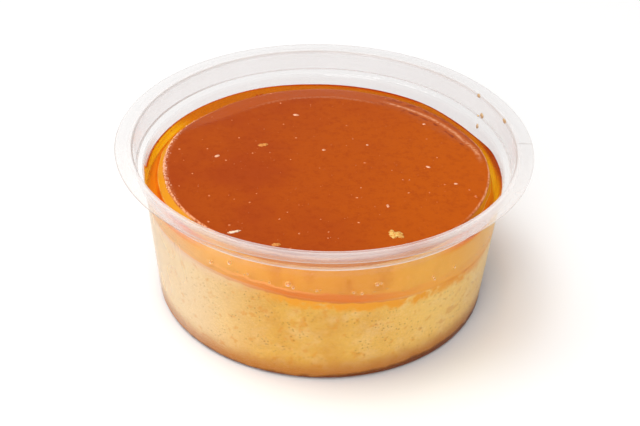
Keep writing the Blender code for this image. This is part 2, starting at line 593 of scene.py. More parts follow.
class Sheet:
    """A node sheet for one material."""

    def __init__(self, name: str) -> None:
        """Start an empty material.

        Args:
            name: the material's name.
        """
        self.material = bpy.data.materials.new(name)
        self.material.use_nodes = True
        self.nodes = self.material.node_tree.nodes
        self.links = self.material.node_tree.links
        self.nodes.clear()

    def add(self, kind: str, inputs: dict | None = None, **settings: object) -> bpy.types.Node:
        """Add a node.

        Args:
            kind: the node's type.
            inputs: socket names or numbers, each with a value or a socket to link from.
            settings: the node's own properties.

        Returns:
            The node.
        """
        node = self.nodes.new(kind)
        for name, value in settings.items():
            setattr(node, name, value)
        for key, value in (inputs or {}).items():
            self.plug(node.inputs[key], value)
        return node

    def plug(self, socket: bpy.types.NodeSocket, value: object) -> None:
        """Link a socket to another, or give it a value of its own.

        Args:
            socket: the socket.
            value: another socket, or a value.
        """
        if isinstance(value, bpy.types.NodeSocket):
            self.links.new(value, socket)
        else:
            socket.default_value = value

    def place(self, shift: float = 0.0) -> bpy.types.NodeSocket:
        """The surface's place in the frame's axes, in metres, which a shift moves along.

        Args:
            shift: how far, so that one noise doesn't repeat another.

        Returns:
            The place.
        """
        place = self.add("ShaderNodeTexCoord").outputs["Object"]
        if not shift:
            return place
        moved = self.add("ShaderNodeVectorMath", {0: place, 1: (shift, shift, shift)},
                         operation="ADD")
        return moved.outputs[0]

    def east(self) -> bpy.types.NodeSocket:
        """How far the surface lies along +X, in metres."""
        return self.add("ShaderNodeSeparateXYZ", {"Vector": self.place()}).outputs["X"]

    def facing(self) -> bpy.types.NodeSocket:
        """How nearly the surface is seen edge on, from 0 to 1."""
        return self.add("ShaderNodeLayerWeight", {"Blend": 0.5}).outputs["Facing"]

    def read(self, name: str) -> bpy.types.NodeSocket:
        """A value stored on the piece's points."""
        return self.add("ShaderNodeAttribute", attribute_name=name).outputs["Fac"]

    def math(self, kind: str, *values: object) -> bpy.types.NodeSocket:
        """One step of arithmetic on values or sockets."""
        node = self.add("ShaderNodeMath", dict(enumerate(values)), operation=kind)
        return node.outputs[0]

    def times(self, first: object, second: object) -> bpy.types.NodeSocket:
        """The product of two values or sockets."""
        return self.math("MULTIPLY", first, second)

    def plus(self, value: object, factor: float, start: object) -> bpy.types.NodeSocket:
        """A value times a factor, added to a start."""
        return self.math("MULTIPLY_ADD", value, factor, start)

    def noise(self, scale: float, detail: float = 3.0, roughness: float = 0.55,
              shift: float = 0.0) -> bpy.types.NodeSocket:
        """Soft noise on the surface's place, with its waves per metre as its scale.

        Args:
            scale: its waves per metre.
            detail: layers of finer noise.
            roughness: how strong the finer layers are.
            shift: how far the noise is moved along.

        Returns:
            A value from 0 to 1.
        """
        node = self.add("ShaderNodeTexNoise", {
            "Vector": self.place(shift), "Scale": scale, "Detail": detail,
            "Roughness": roughness,
        })
        return node.outputs["Fac"]

    def patches(self, kind: Patches) -> bpy.types.NodeSocket:
        """1 in patches of noise and 0 between them."""
        rough = self.noise(kind.scale, kind.detail, kind.roughness, kind.shift)
        return self.band(rough, kind.low, kind.high)

    def ramp(self, share: bpy.types.NodeSocket, stops: Sequence[tuple]) -> bpy.types.NodeSocket:
        """Colours by a share, from stops of (place, colour).

        Args:
            share: where the colour is read, from 0 to 1.
            stops: the places and their colours, in order.

        Returns:
            The colour.
        """
        node = self.add("ShaderNodeValToRGB", {"Fac": share})
        elements = node.color_ramp.elements
        while len(elements) > 1:
            elements.remove(elements[0])
        elements[0].position, elements[0].color = stops[0][0], stops[0][1]
        for position, color in stops[1:]:
            elements.new(position).color = color
        return node.outputs["Color"]

    def band(self, value: object, low: float, high: float) -> bpy.types.NodeSocket:
        """A smooth rise from 0 at low to 1 at high.

        Args:
            value: the value.
            low: where the rise starts.
            high: where it ends.

        Returns:
            A share from 0 to 1.
        """
        node = self.add("ShaderNodeMapRange", {"Value": value, "From Min": low, "From Max": high},
                        interpolation_type="SMOOTHSTEP")
        return node.outputs["Result"]

    def mix(self, share: object, first: object, second: object) -> bpy.types.NodeSocket:
        """A mix of two colours.

        Args:
            share: the second colour's share.
            first: the first colour.
            second: the second colour.

        Returns:
            The mixed colour.
        """
        node = self.add("ShaderNodeMix", {"Factor": share}, data_type="RGBA", blend_type="MIX")
        self.plug(node.inputs[6], first)
        self.plug(node.inputs[7], second)
        return node.outputs[2]

    def lay(self, base: object, color: object, share: object,
            strength: float) -> bpy.types.NodeSocket:
        """Lay a colour over another.

        Args:
            base: the colour below.
            color: the colour laid over it.
            share: how far it covers, from 0 to 1.
            strength: how strong it is where it covers fully.

        Returns:
            The mixed colour.
        """
        return self.mix(self.times(share, strength), base, color)

    def join(self, share: object, first: bpy.types.NodeSocket,
             second: bpy.types.NodeSocket) -> bpy.types.NodeSocket:
        """A mix of two shaders."""
        return self.add("ShaderNodeMixShader", {0: share, 1: first, 2: second}).outputs[0]

    def mirror(self, straight: float, grazing: float) -> bpy.types.NodeSocket:
        """Share of light mirrored by a clear skin, the same from both of its sides.

        Args:
            straight: the share met head on.
            grazing: the share met edge on.

        Returns:
            The share.
        """
        rise = self.times(self.math("POWER", self.facing(), 5.0), grazing - straight)
        return self.math("ADD", rise, straight)

    def bump(self, height: bpy.types.NodeSocket, distance: float,
             strength: float) -> bpy.types.NodeSocket:
        """A surface relief from a height, in metres.

        Args:
            height: the relief's height.
            distance: how high a height of 1 stands.
            strength: how strongly it shows.

        Returns:
            The surface's new normal.
        """
        node = self.add("ShaderNodeBump", {
            "Height": height, "Distance": distance, "Strength": strength,
        })
        return node.outputs["Normal"]

    def clear(self, tint: object) -> bpy.types.NodeSocket:
        """A shader that lets light through and tints it."""
        return self.add("ShaderNodeBsdfTransparent", {"Color": tint}).outputs[0]

    def gloss(self, roughness: float, **inputs: object) -> bpy.types.NodeSocket:
        """A white glossy shader.

        Args:
            roughness: its roughness.
            inputs: its further inputs by name.

        Returns:
            The shader.
        """
        return self.add("ShaderNodeBsdfAnisotropic", {
            "Color": WHITE, "Roughness": roughness, **inputs,
        }).outputs[0]

    def solid(self, color: object, roughness: float, inputs: dict) -> bpy.types.NodeSocket:
        """A shader for a solid surface.

        Args:
            color: its colour.
            roughness: its roughness.
            inputs: its further inputs by name.

        Returns:
            The shader.
        """
        return self.add("ShaderNodeBsdfPrincipled", {
            "Base Color": color, "Roughness": roughness, **inputs,
        }).outputs[0]

    def finish(self, surface: bpy.types.NodeSocket) -> bpy.types.Material:
        """Link the last shader to the output and give the material."""
        self.add("ShaderNodeOutputMaterial", {"Surface": surface})
        return self.material


@dataclass(frozen=True)
class ClearPlastic:
    """Thin clear plastic, with a milky veil where the piece's haze value is high; part of that haze
    is painted highlight and painted sheen, and the piece's stored values also lay painted refraction
    lines and painted shade on it.
    """

    name: str = "clear_plastic"
    veil: tuple = linear(253, 251, 250)
    # painted refraction lines: the brown of the plastic's edges
    line: tuple = linear(168, 142, 124)
    tint: tuple = (0.985, 0.982, 0.981, 1.0)
    # painted shade: the tint of the bare plastic away from the front
    shade: tuple = (0.932, 0.926, 0.926, 1.0)
    smears: Patches = Patches(60.0, 1.0, -0.4, 0.8)
    edge_on_haze: float = 0.04
    edge_on_power: float = 2.5
    most_haze: float = 0.97
    gloss_roughness: float = 0.07
    mirrored: float = 0.014
    mirrored_edge_on: float = 0.38

    def make(self) -> bpy.types.Material:
        """Build the material.

        Returns:
            The material.
        """
        sheet = Sheet(self.name)
        line = sheet.read("line")
        haze = sheet.times(sheet.read("haze"), sheet.patches(self.smears))
        edge_on = sheet.math("POWER", sheet.facing(), self.edge_on_power)
        haze = sheet.math("ADD", haze, sheet.times(edge_on, self.edge_on_haze))
        haze = sheet.math("MINIMUM", sheet.math("ADD", haze, line), self.most_haze)
        veil = sheet.mix(line, self.veil, self.line)
        before = sheet.add("ShaderNodeBsdfDiffuse", {"Color": veil}).outputs[0]
        through = sheet.add("ShaderNodeBsdfTranslucent", {"Color": veil}).outputs[0]
        milk = sheet.join(0.5, before, through)
        # painted shade: darkens what is seen through the bare plastic away from the front
        clear = sheet.clear(sheet.mix(sheet.read("grey"), self.tint, self.shade))
        mirrored = sheet.mirror(self.mirrored, self.mirrored_edge_on)
        shine = sheet.times(mirrored, sheet.read("shine"))
        body = sheet.join(haze, clear, milk)
        return sheet.finish(sheet.join(shine, body, sheet.gloss(self.gloss_roughness)))


@dataclass(frozen=True)
class BakedCustard:
    """Pale baked custard seen through the wall: pores, mottles, and a stain of syrup above, with
    painted light: paler on the lit west, a glow at the east, a highlight along the band's top, and
    painted shade at the foot.
    """

    name: str = "baked_custard"
    pale: tuple = linear(232, 180, 76)
    warm: tuple = linear(222, 163, 60)
    # the next three colours: pale patches and painted light on the lit west, a painted pale fade at
    # the left, and a painted glow at the east
    cream: tuple = linear(248, 221, 170)
    blush: tuple = linear(234, 194, 158)
    sunny: tuple = linear(255, 212, 116)
    pore: tuple = linear(156, 108, 30)
    smudge: tuple = linear(220, 138, 16)
    stain: tuple = linear(236, 156, 0)
    seam: tuple = linear(214, 122, 34)
    band: tuple = linear(222, 130, 46)
    # froth in the wet lining, and a painted highlight along the band's top at the left
    band_line: tuple = linear(240, 170, 120)
    lining: tuple = linear(223, 160, 66)
    lining_dark: tuple = linear(210, 138, 38)
    # brown skin at the foot, which also carries painted shade on the shaded right
    skin: tuple = linear(122, 60, 10)
    skin_light: tuple = linear(186, 113, 40)
    # painted light: spans over which the custard is paler on the lit west and glows at the east
    west_side: tuple = (-10.0 * MM, -38.0 * MM)
    east_side: tuple = (6.0 * MM, 36.0 * MM)
    mottles: Patches = Patches(95.0, 4.0, 0.34, 0.68)
    pale_patches: Patches = Patches(200.0, 2.0, 0.44, 0.72, shift=0.9)
    grain: Patches = Patches(1500.0, 2.0, 0.30, 0.70)
    smudges: Patches = Patches(460.0, 1.0, 0.58, 0.70, shift=0.3)
    pore_patches: Patches = Patches(210.0, 2.0, 0.44, 0.58)
    pores_per_metre: float = 950.0
    pore_edge: tuple = (0.30, 0.14)
    stain_patches: Patches = Patches(260.0, 3.0, 0.32, 0.48, shift=0.7)
    lining_patches: Patches = Patches(150.0, 4.0, 0.46, 0.68)
    froth: Patches = Patches(900.0, 2.0, 0.60, 0.70, shift=0.5)
    roughness: float = 0.45
    relief_depth: float = 0.2 * MM

    def make(self) -> bpy.types.Material:
        """Build the material.

        Returns:
            The material.
        """
        sheet = Sheet(self.name)
        east = sheet.band(sheet.east(), *self.east_side)
        pores = self.pores(sheet)
        color = self.baked(sheet, east, pores)
        color = self.stained(sheet, color, east)
        color = self.browned(sheet, color)
        relief = sheet.math("SUBTRACT", sheet.noise(900.0, 2.0), sheet.times(pores, 0.8))
        shader = sheet.solid(color, self.roughness, {
            "Specular IOR Level": 0.15, "Subsurface Weight": 0.12,
            "Subsurface Radius": (1.0, 0.6, 0.3), "Subsurface Scale": 1.5 * MM,
            "Normal": sheet.bump(relief, self.relief_depth, 0.22),
        })
        return sheet.finish(shader)

    def baked(self, sheet: Sheet, east: bpy.types.NodeSocket,
              pores: bpy.types.NodeSocket) -> bpy.types.NodeSocket:
        """The custard's colour: mottled, with pale patches and pores, and painted light that makes
        it paler at the lit west and glow at the east.

        Args:
            sheet: the material's sheet.
            east: how far a place lies on the side with the painted glow.
            pores: where the pores are.

        Returns:
            The colour.
        """
        color = sheet.mix(sheet.patches(self.mottles), self.pale, self.warm)
        # painted light: paler towards the lit west, mixed with random pale patches
        west = sheet.band(sheet.east(), *self.west_side)
        paler = sheet.math("MAXIMUM", sheet.times(west, 0.80),
                           sheet.times(sheet.patches(self.pale_patches), 0.22))
        # painted light: a glow on the east side
        color = sheet.lay(color, self.sunny, east, strength=0.72)
        color = sheet.mix(paler, color, self.cream)
        color = sheet.lay(color, self.pore, sheet.patches(self.grain), strength=0.14)
        color = sheet.lay(color, self.smudge, sheet.patches(self.smudges), strength=0.42)
        return sheet.lay(color, self.pore, pores, strength=0.60)

    def pores(self, sheet: Sheet) -> bpy.types.NodeSocket:
        """Tiny dark pores, sparse and in patches.

        Args:
            sheet: the material's sheet.

        Returns:
            1 in a pore and 0 outside it.
        """
        cells = sheet.add("ShaderNodeTexVoronoi", {
            "Vector": sheet.place(), "Scale": self.pores_per_metre,
        })
        holes = sheet.band(cells.outputs["Distance"], *self.pore_edge)
        return sheet.times(holes, sheet.patches(self.pore_patches))

    def stained(self, sheet: Sheet, color: bpy.types.NodeSocket,
                east: bpy.types.NodeSocket) -> bpy.types.NodeSocket:
        """The stain under the syrup's line, the band and the wet lining above it, and painted light:
        a highlight along the band's top, a pale fade at the lit left and a glow at the east.

        Args:
            sheet: the sheet.
            color: the custard's colour so far.
            east: how far a place lies on the side with the painted glow.

        Returns:
            The colour with all of these laid over it.
        """
        rise = sheet.read("rise")
        uneven = sheet.math("SUBTRACT", sheet.noise(300.0, 5.0), 0.5)
        reach = sheet.plus(uneven, 1.8, rise)
        stain = sheet.band(sheet.plus(uneven, 6.0, rise), -3.8, -1.2)
        stain = sheet.times(stain, sheet.times(sheet.patches(self.stain_patches),
                                               sheet.read("stain")))
        color = sheet.mix(stain, color, self.stain)
        lining = sheet.mix(sheet.patches(self.lining_patches), self.lining, self.lining_dark)
        lining = sheet.lay(lining, self.band_line, sheet.patches(self.froth), strength=0.45)
        band = sheet.mix(sheet.band(rise, 0.2, 0.9), self.seam, self.band)
        # the painted fade at the lit left also shows the lining's colour in place of the band
        upper = sheet.math("MAXIMUM", sheet.band(reach, 2.1, 2.6), sheet.read("faded"))
        above = sheet.band(sheet.plus(uneven, 1.6, rise), -0.20, 0.20)
        color = sheet.mix(above, color, sheet.mix(upper, band, lining))
        # painted highlight along the band's top at the left
        crest = sheet.times(sheet.band(reach, 1.75, 2.05), sheet.band(reach, 2.6, 2.3))
        color = sheet.mix(sheet.times(crest, sheet.read("crest")), color, self.band_line)
        # painted light: the lit left fades to a pale blush
        veiled = sheet.plus(sheet.band(reach, -3.5, 1.0), 0.90, 0.05)
        color = sheet.mix(sheet.times(sheet.read("faded"), veiled), color, self.blush)
        # painted light: a glow at the east above the syrup's line
        lit = sheet.times(sheet.band(rise, -0.5, 0.5), sheet.times(east, 0.6))
        return sheet.mix(lit, color, self.sunny)

    def browned(self, sheet: Sheet, color: bpy.types.NodeSocket) -> bpy.types.NodeSocket:
        """Brown skin at the custard's foot, which carries painted shade on the shaded right, laid
        over its colour.

        Args:
            sheet: the material's sheet.
            color: the colour so far.

        Returns:
            The colour with the skin laid over it.
        """
        uneven = sheet.math("SUBTRACT", sheet.noise(250.0, 3.0), 0.5)
        foot = sheet.plus(uneven, 2.2, sheet.read("foot"))
        color = sheet.lay(color, self.skin_light, sheet.band(foot, 9.0, 1.8), strength=0.9)
        return sheet.mix(sheet.band(foot, 2.2, 0.9), color, self.skin)


@dataclass(frozen=True)
class CaramelLayer:
    """Wet orange-brown caramel, red and amber in patches and brighter at the east, with painted
    highlights along its edge and crease and painted golden light on its side.
    """

    name: str = "caramel_layer"
    amber: tuple = linear(176, 75, 15)
    red: tuple = linear(167, 66, 17)
    bright: tuple = linear(190, 87, 8)
    sunken: tuple = linear(188, 84, 18)
    speck: tuple = linear(150, 52, 8)
    # painted highlights along the rounded edge and the crease
    edge: tuple = linear(242, 172, 124)
    crease: tuple = linear(234, 164, 116)
    # painted light: golden light through the syrup on the layer's side
    gold: tuple = linear(224, 150, 30)
    front: tuple = linear(228, 158, 62)
    brink: tuple = linear(132, 44, 10)
    east_side: tuple = (-20.0 * MM, 40.0 * MM)
    clouds: Patches = Patches(38.0, 3.0, 0.36, 0.62)
    specks: Patches = Patches(520.0, 5.0, 0.44, 0.70, roughness=0.7)
    dashes: Patches = Patches(480.0, 2.0, 0.46, 0.56)
    grains: Patches = Patches(1300.0, 2.0, 0.30, 0.60)
    roughness: float = 0.22
    relief_depth: float = 0.12 * MM

    def make(self) -> bpy.types.Material:
        """Build the material.

        Returns:
            The material.
        """
        sheet = Sheet(self.name)
        color = sheet.mix(sheet.patches(self.clouds), self.amber, self.red)
        east = sheet.band(sheet.east(), *self.east_side)
        color = sheet.lay(color, self.bright, east, strength=0.75)
        color = sheet.lay(color, self.speck, sheet.patches(self.specks), strength=0.35)
        color = sheet.lay(color, self.sunken, sheet.read("sunken"), strength=0.6)
        color = sheet.mix(sheet.read("gold"), color, self.gold)
        color = sheet.mix(sheet.read("front"), color, self.front)
        dashed = sheet.times(sheet.read("brink"), sheet.patches(self.dashes))
        color = sheet.mix(dashed, color, self.brink)
        # painted highlights along the crease and the rounded edge
        grains = sheet.patches(self.grains)
        color = sheet.mix(sheet.times(sheet.read("crease"), grains), color, self.crease)
        color = sheet.mix(sheet.times(sheet.read("edge"), grains), color, self.edge)
        relief = sheet.plus(sheet.noise(1500.0, 2.0), 0.25, sheet.noise(260.0, 3.0))
        shader = sheet.solid(color, self.roughness, {
            "Specular IOR Level": 0.06, "Normal": sheet.bump(relief, self.relief_depth, 0.35),
        })
        return sheet.finish(shader)


@dataclass(frozen=True)
class AmberSyrup:
    """Clear syrup, golden where it is lit from behind and brown where it lies deep; its tint also
    carries painted shade and painted caustic streaks.
    """

    name: str = "amber_syrup"
    stops: tuple = (
        (0.0, linear(255, 252, 240)), (0.15, linear(255, 238, 176)), (0.38, linear(255, 212, 84)),
        (0.62, linear(252, 186, 20)), (0.82, linear(226, 132, 20)), (1.0, linear(194, 90, 24)),
    )
    ripples: float = 300.0
    ripple_depth: float = 0.1 * MM
    gloss_roughness: float = 0.05
    mirrored: float = 0.01
    mirrored_edge_on: float = 0.18

    def make(self) -> bpy.types.Material:
        """Build the material.

        Returns:
            The material.
        """
        sheet = Sheet(self.name)
        clear = sheet.clear(sheet.ramp(sheet.read("amber"), self.stops))
        ripples = sheet.bump(sheet.noise(self.ripples, 2.0), self.ripple_depth, 0.3)
        gloss = sheet.gloss(self.gloss_roughness, Normal=ripples)
        mirrored = sheet.mirror(self.mirrored, self.mirrored_edge_on)
        return sheet.finish(sheet.join(sheet.times(mirrored, sheet.read("free")), clear, gloss))


@dataclass(frozen=True)
class ClearBubble:
    """A bubble behind the wall: nearly clear in its middle, with a painted reflection as its pale
    rim.
    """

    name: str = "clear_bubble"
    # painted reflection: the pale colour that covers the bubble towards its rim
    outline: tuple = linear(255, 244, 226)
    middle: tuple = linear(255, 226, 186)
    roughness: float = 0.08
    cover: tuple = (0.26, 0.92)

    def make(self) -> bpy.types.Material:
        """Build the material.

        Returns:
            The material.
        """
        sheet = Sheet(self.name)
        body = sheet.solid(self.outline, self.roughness, {"Specular IOR Level": 0.9})
        least, most = self.cover
        cover = sheet.plus(sheet.band(sheet.facing(), 0.25, 0.65), most - least, least)
        return sheet.finish(sheet.join(cover, sheet.clear(self.middle), body))


@dataclass(frozen=True)
class Plain:
    """A small thing's finish: one colour, broken by fine noise, with its own gloss."""

    name: str
    light: tuple
    dark: tuple
    grain: float = 900.0
    roughness: float = 0.3
    opacity: float = 1.0

    def make(self) -> bpy.types.Material:
        """Build the material.

        Returns:
            The material.
        """
        sheet = Sheet(self.name)
        grains = sheet.patches(Patches(self.grain, 3.0, 0.35, 0.65))
        color = sheet.mix(grains, self.light, self.dark)
        return sheet.finish(sheet.solid(color, self.roughness, {"Alpha": self.opacity}))


# ------------------------------------------------------------------ the tub


@dataclass
class Tub:
    """The clear tub, turned fine enough for its rim's crisp lines.

    The lines of its profile are in millimetres, out and up from the corner that each goes round.
    Its haze values say how milky each part of it is; some are painted light: bright highlight lines
    at the ledge and the flange's inner corner, and a painted sheen on the wall at the left.
    """

    sizes: Measures
    segments: int = 192
    wall_steps: int = 26
    floor_radii: tuple = (12.0 * MM, 22.0 * MM, 32.0 * MM)
    heel_turn: tuple = (90, 72, 54, 36, 18, 0)
    ledge_inner_line: tuple = ((0.0, -0.15), (0.15, -0.04), (0.6, 0.03))
    ledge_outer_line: tuple = (
        (-0.6, -0.12), (-0.25, -0.05), (-0.08, 0.05), (0.0, 0.25), (0.03, 0.6),
    )
    seat_shares: tuple = (0.25, 0.5, 0.75)
    corner_line: tuple = ((-0.03, -0.8), (0.0, -0.35), (0.08, -0.12), (0.25, -0.03), (0.6, -0.03))
    flange_radii: tuple = (55.3, 56.0, 56.35, 56.7, 57.0, 57.4, 57.9, 58.2, 58.35)
    groove_depths: tuple = (0.0, 0.0, 0.04, 0.16, 0.05, 0.0, 0.0, 0.0, 0.0)
    groove_radius: float = 56.6 * MM
    brim_line: tuple = (57.3 * MM, 58.3 * MM)
    brim_radius: float = 57.0 * MM
    flange_haze: float = 0.47
    groove_haze: float = 0.08
    lip_haze: float = 0.09
    lip_line: tuple = (54.4 * MM, 55.4 * MM)
    seat_haze: float = 0.02
    seat_back_haze: float = 0.12
    # painted highlights: bright lines of milk at the ledge and the flange's inner corner
    ledge_haze: float = 0.75
    crisp_haze: float = 0.80
    upper_haze: float = 0.04
    lower_haze: float = 0.02
    # painted sheen: milk on the wall where the light falls at the left and along its left edge
    lit_haze: float = 0.38
    grazing_haze: float = 0.58
    grazing_bearing: float = 184.0
    side_haze: float = 0.26
    floor_haze: float = 0.02
    back_haze: float = 0.12
    shaded_edge_bearing: float = 208.0

    def build(self) -> bpy.types.Object:
        """Model the tub and dress it.

        Returns:
            The piece.
        """
        piece = turn_rings("tub_shell", self.rings(), self.segments, Side.CAPPED, Side.OPEN)
        modify(piece, "SOLIDIFY", thickness=self.sizes.shell, offset=1.0, use_even_offset=True)
        self.face_outwards(piece)
        store(piece, haze=self.haze, line=self.line, grey=self.grey,
              shine=lambda point: ease(1.5 * MM, 12.0 * MM, point.z))
        self.shape_rim(piece)
        smooth(piece, 50.0)
        dress(piece, ClearPlastic().make(), Slot.PLASTIC, ["tub"])
        return piece

    def rings(self) -> list:
        """Rings of the outer skin, from the floor's middle out, up the wall and over the rim.

        Returns:
            The rings in order.
        """
        s = self.sizes
        under, seat_top = s.ledge_height - s.shell, s.rim_height - s.shell
        rings = [Ring.plain(radius, s.floor_rise) for radius in self.floor_radii]
        rings.append(Ring.plain(s.floor_edge_radius, s.floor_rise))
        rings.append(Ring.plain(s.foot_inner_radius, 0.0))
        for degrees in self.heel_turn:
            angle = math.radians(degrees)
            radius = s.wall_foot_radius - s.heel_radius * (1.0 - math.cos(angle))
            rings.append(Ring.plain(radius, s.heel_radius * (1.0 - math.sin(angle))))
        top = under - s.ledge_fall
        for step in range(1, self.wall_steps):
            height = blend(s.heel_radius, top, step / self.wall_steps)
            rings.append(Ring.plain(s.wall_outer(height), height))
        rings += self.round_corner(s.wall_top_radius, top, self.ledge_inner_line)
        rings += self.round_corner(s.seat_foot_radius + s.shell, under, self.ledge_outer_line)
        for share in self.seat_shares:
            rings.append(Ring.plain(
                blend(s.seat_foot_radius, s.seat_top_radius, share) + s.shell,
                blend(under, seat_top, share)))
        corner = s.seat_top_radius + s.shell
        rings += self.round_corner(corner, seat_top, self.corner_line)
        for radius, groove in zip(self.flange_radii, self.groove_depths):
            share = (radius * MM - corner) / (s.rim_radius - corner)
            rings.append(Ring.plain(radius * MM, seat_top - s.flange_fall * share - groove * MM))
        rings.append(Ring.plain(s.rim_radius, seat_top - s.flange_fall))
        return rings

    def round_corner(self, radius: float, height: float, line: Sequence[tuple]) -> list:
        """Rings along a line that goes round a corner of the profile."""
        return [Ring.plain(radius + out * MM, height + up * MM) for out, up in line]

    def shape_rim(self, piece: bpy.types.Object) -> None:
        """Draw the ledge in, thin the brim, and let the rim lie slightly lower at the back.

        Args:
            piece: the tub's piece.
        """
        s = self.sizes
        top = s.rim_height - s.flange_fall
        for point in piece.data.vertices:
            self.tuck_in(point)
            radius = radius_of(point.co)
            thin = blend(1.0, s.brim_thickness / s.shell, ease(*self.brim_line, radius))
            if radius > self.brim_radius:
                point.co.z = top - (top - point.co.z) * thin
            back = 0.5 * (1.0 + math.sin(bearing_of(point.co)))
            point.co.z -= s.rim_tilt * back * ease(s.ledge_height, s.rim_height, point.co.z)

    def tuck_in(self, point: bpy.types.MeshVertex) -> None:
        """Draw a point of the ledge or of the seat above it inwards, most of all at the front.

        Args:
            point: a point of the tub's mesh.
        """
        s = self.sizes
        bearing, radius = bearing_of(point.co), radius_of(point.co)
        share = clamp((point.co.z - s.ledge_height) / (s.rim_height - s.ledge_height))
        front, back = max(-math.sin(bearing), 0.0), max(math.sin(bearing), 0.0)
        at_front, at_side, at_back = s.ledge_tuck
        low = at_side + (at_front - at_side) * front + (at_back - at_side) * back
        reach = ease(s.wall_top_radius + 0.2 * MM, s.seat_foot_radius - 0.4 * MM, radius)
        reach *= fade(s.seat_top_radius + 0.7 * MM, s.seat_top_radius + 2.6 * MM, radius)
        shorter = radius - reach * blend(low, s.corner_tuck * front, share)
        point.co.x, point.co.y = shorter * math.cos(bearing), shorter * math.sin(bearing)

    def grey(self, point: Vector) -> float:
        """Painted shade: how much the bare plastic darkens what is behind it, away from the front.

        Args:
            point: a point of the piece.

        Returns:
            A share from 0 to 1.
        """
        s = self.sizes
        bearing = bearing_of(point)
        away = fade(-0.30, 0.20, -math.sin(bearing))
        on_side = fade(0.0, 0.6, -math.sin(bearing))
        low = s.contact(bearing)
        bare = ease(low + 0.5 * MM, low + 2.5 * MM, point.z)
        on_flange = ease(0.1 * MM, 0.5 * MM, radius_of(point) - s.seat_top_radius)
        return bare * blend(away, 0.6 * on_side, on_flange)

    def haze(self, point: Vector) -> float:
        """How milky the plastic is at a point.

        Args:
            point: a point of the piece.

        Returns:
            A share from 0 to 1.
        """
        s = self.sizes
        bearing, radius, height = bearing_of(point), radius_of(point), point.z
        front = ease(-0.2, 0.6, -math.sin(bearing))
        beside = ease(0.45, 0.90, abs(math.cos(bearing))) * front
        if radius > s.seat_top_radius + 0.05 * MM and height > s.ledge_height + 4.0 * MM:
            return self.flange_milk(radius, front, beside)
        if height > s.ledge_height + 0.2 * MM:
            seat_milk = blend(self.seat_haze, self.seat_back_haze, 1.0 - front)
            return seat_milk + 1.4 * self.side_haze * beside
        if height > s.ledge_height - 0.9 * MM:
            return self.ledge_milk(radius, height, front)
        return self.wall_milk(bearing, height, front)

    def flange_milk(self, radius: float, front: float, beside: float) -> float:
        """Milkiness of the flange: streaked by its groove, with painted shade away from the front
        and a painted highlight at its inner corner.

        Args:
            radius: distance from the axis.
            front: how far towards the front the place lies, from 0 to 1.
            beside: how far to one side of the front it lies, from 0 to 1.

        Returns:
            The milkiness.
        """
        crisp = fade(0.15 * MM, 0.5 * MM, radius - self.sizes.seat_top_radius)
        groove = near(0.1 * MM, 0.5 * MM, radius - self.groove_radius)
        brim = ease(58.15 * MM, 58.4 * MM, radius)
        haze = blend(self.flange_haze, self.lip_haze, ease(*self.lip_line, radius))
        haze = blend(haze, self.groove_haze, max(groove, 0.5 * brim))
        haze += self.side_haze * beside
        # painted shade: less milk on the flange away from the front
        haze *= blend(0.45, 1.0, front)
        # painted highlight: a bright line at the inner corner at the front
        return blend(haze, self.crisp_haze, crisp * front)

    def ledge_milk(self, radius: float, height: float, front: float) -> float:
        """Milkiness of the ledge, raised to a painted highlight line along its outer edge.

        Args:
            radius: distance from the axis.
            height: height above the base.
            front: how far towards the front the place lies, from 0 to 1.

        Returns:
            The milkiness.
        """
        s = self.sizes
        outer = ease(s.seat_foot_radius + 0.10 * MM, s.seat_foot_radius + 0.33 * MM, radius)
        outer *= near(0.28 * MM, 0.60 * MM, height - s.ledge_height + 0.30 * MM)
        return blend(self.seat_haze, self.ledge_haze, outer * blend(0.2, 1.0, front))

    def wall_milk(self, bearing: float, height: float, front: float) -> float:
        """Milkiness of the wall: clear at the front, with a painted sheen where the light falls at
        the left.

        Args:
            bearing: angle round the axis.
            height: height above the base.
            front: how far towards the front the place lies, from 0 to 1.

        Returns:
            The milkiness.
        """
        rise = (height - self.sizes.contact(bearing)) / MM
        wall = blend(self.lower_haze, self.upper_haze, ease(-0.4, 0.8, rise))
        wall = blend(wall, self.back_haze, 1.0 - front)
        # painted sheen where the light falls on the wall at the left, and along its left edge
        fading = blend(-0.85, -0.25, ease(-1.0, 0.5, rise))
        lit = ease(0.45, 0.92, -math.cos(bearing)) * ease(fading, 0.10, -math.sin(bearing))
        wall = blend(wall, self.lit_haze, lit)
        edge_on = ease(0.94, 0.998, toward(bearing, self.grazing_bearing))
        wall = blend(wall, self.grazing_haze, edge_on)
        return blend(self.floor_haze, wall, ease(0.0, 2.5 * MM, height))

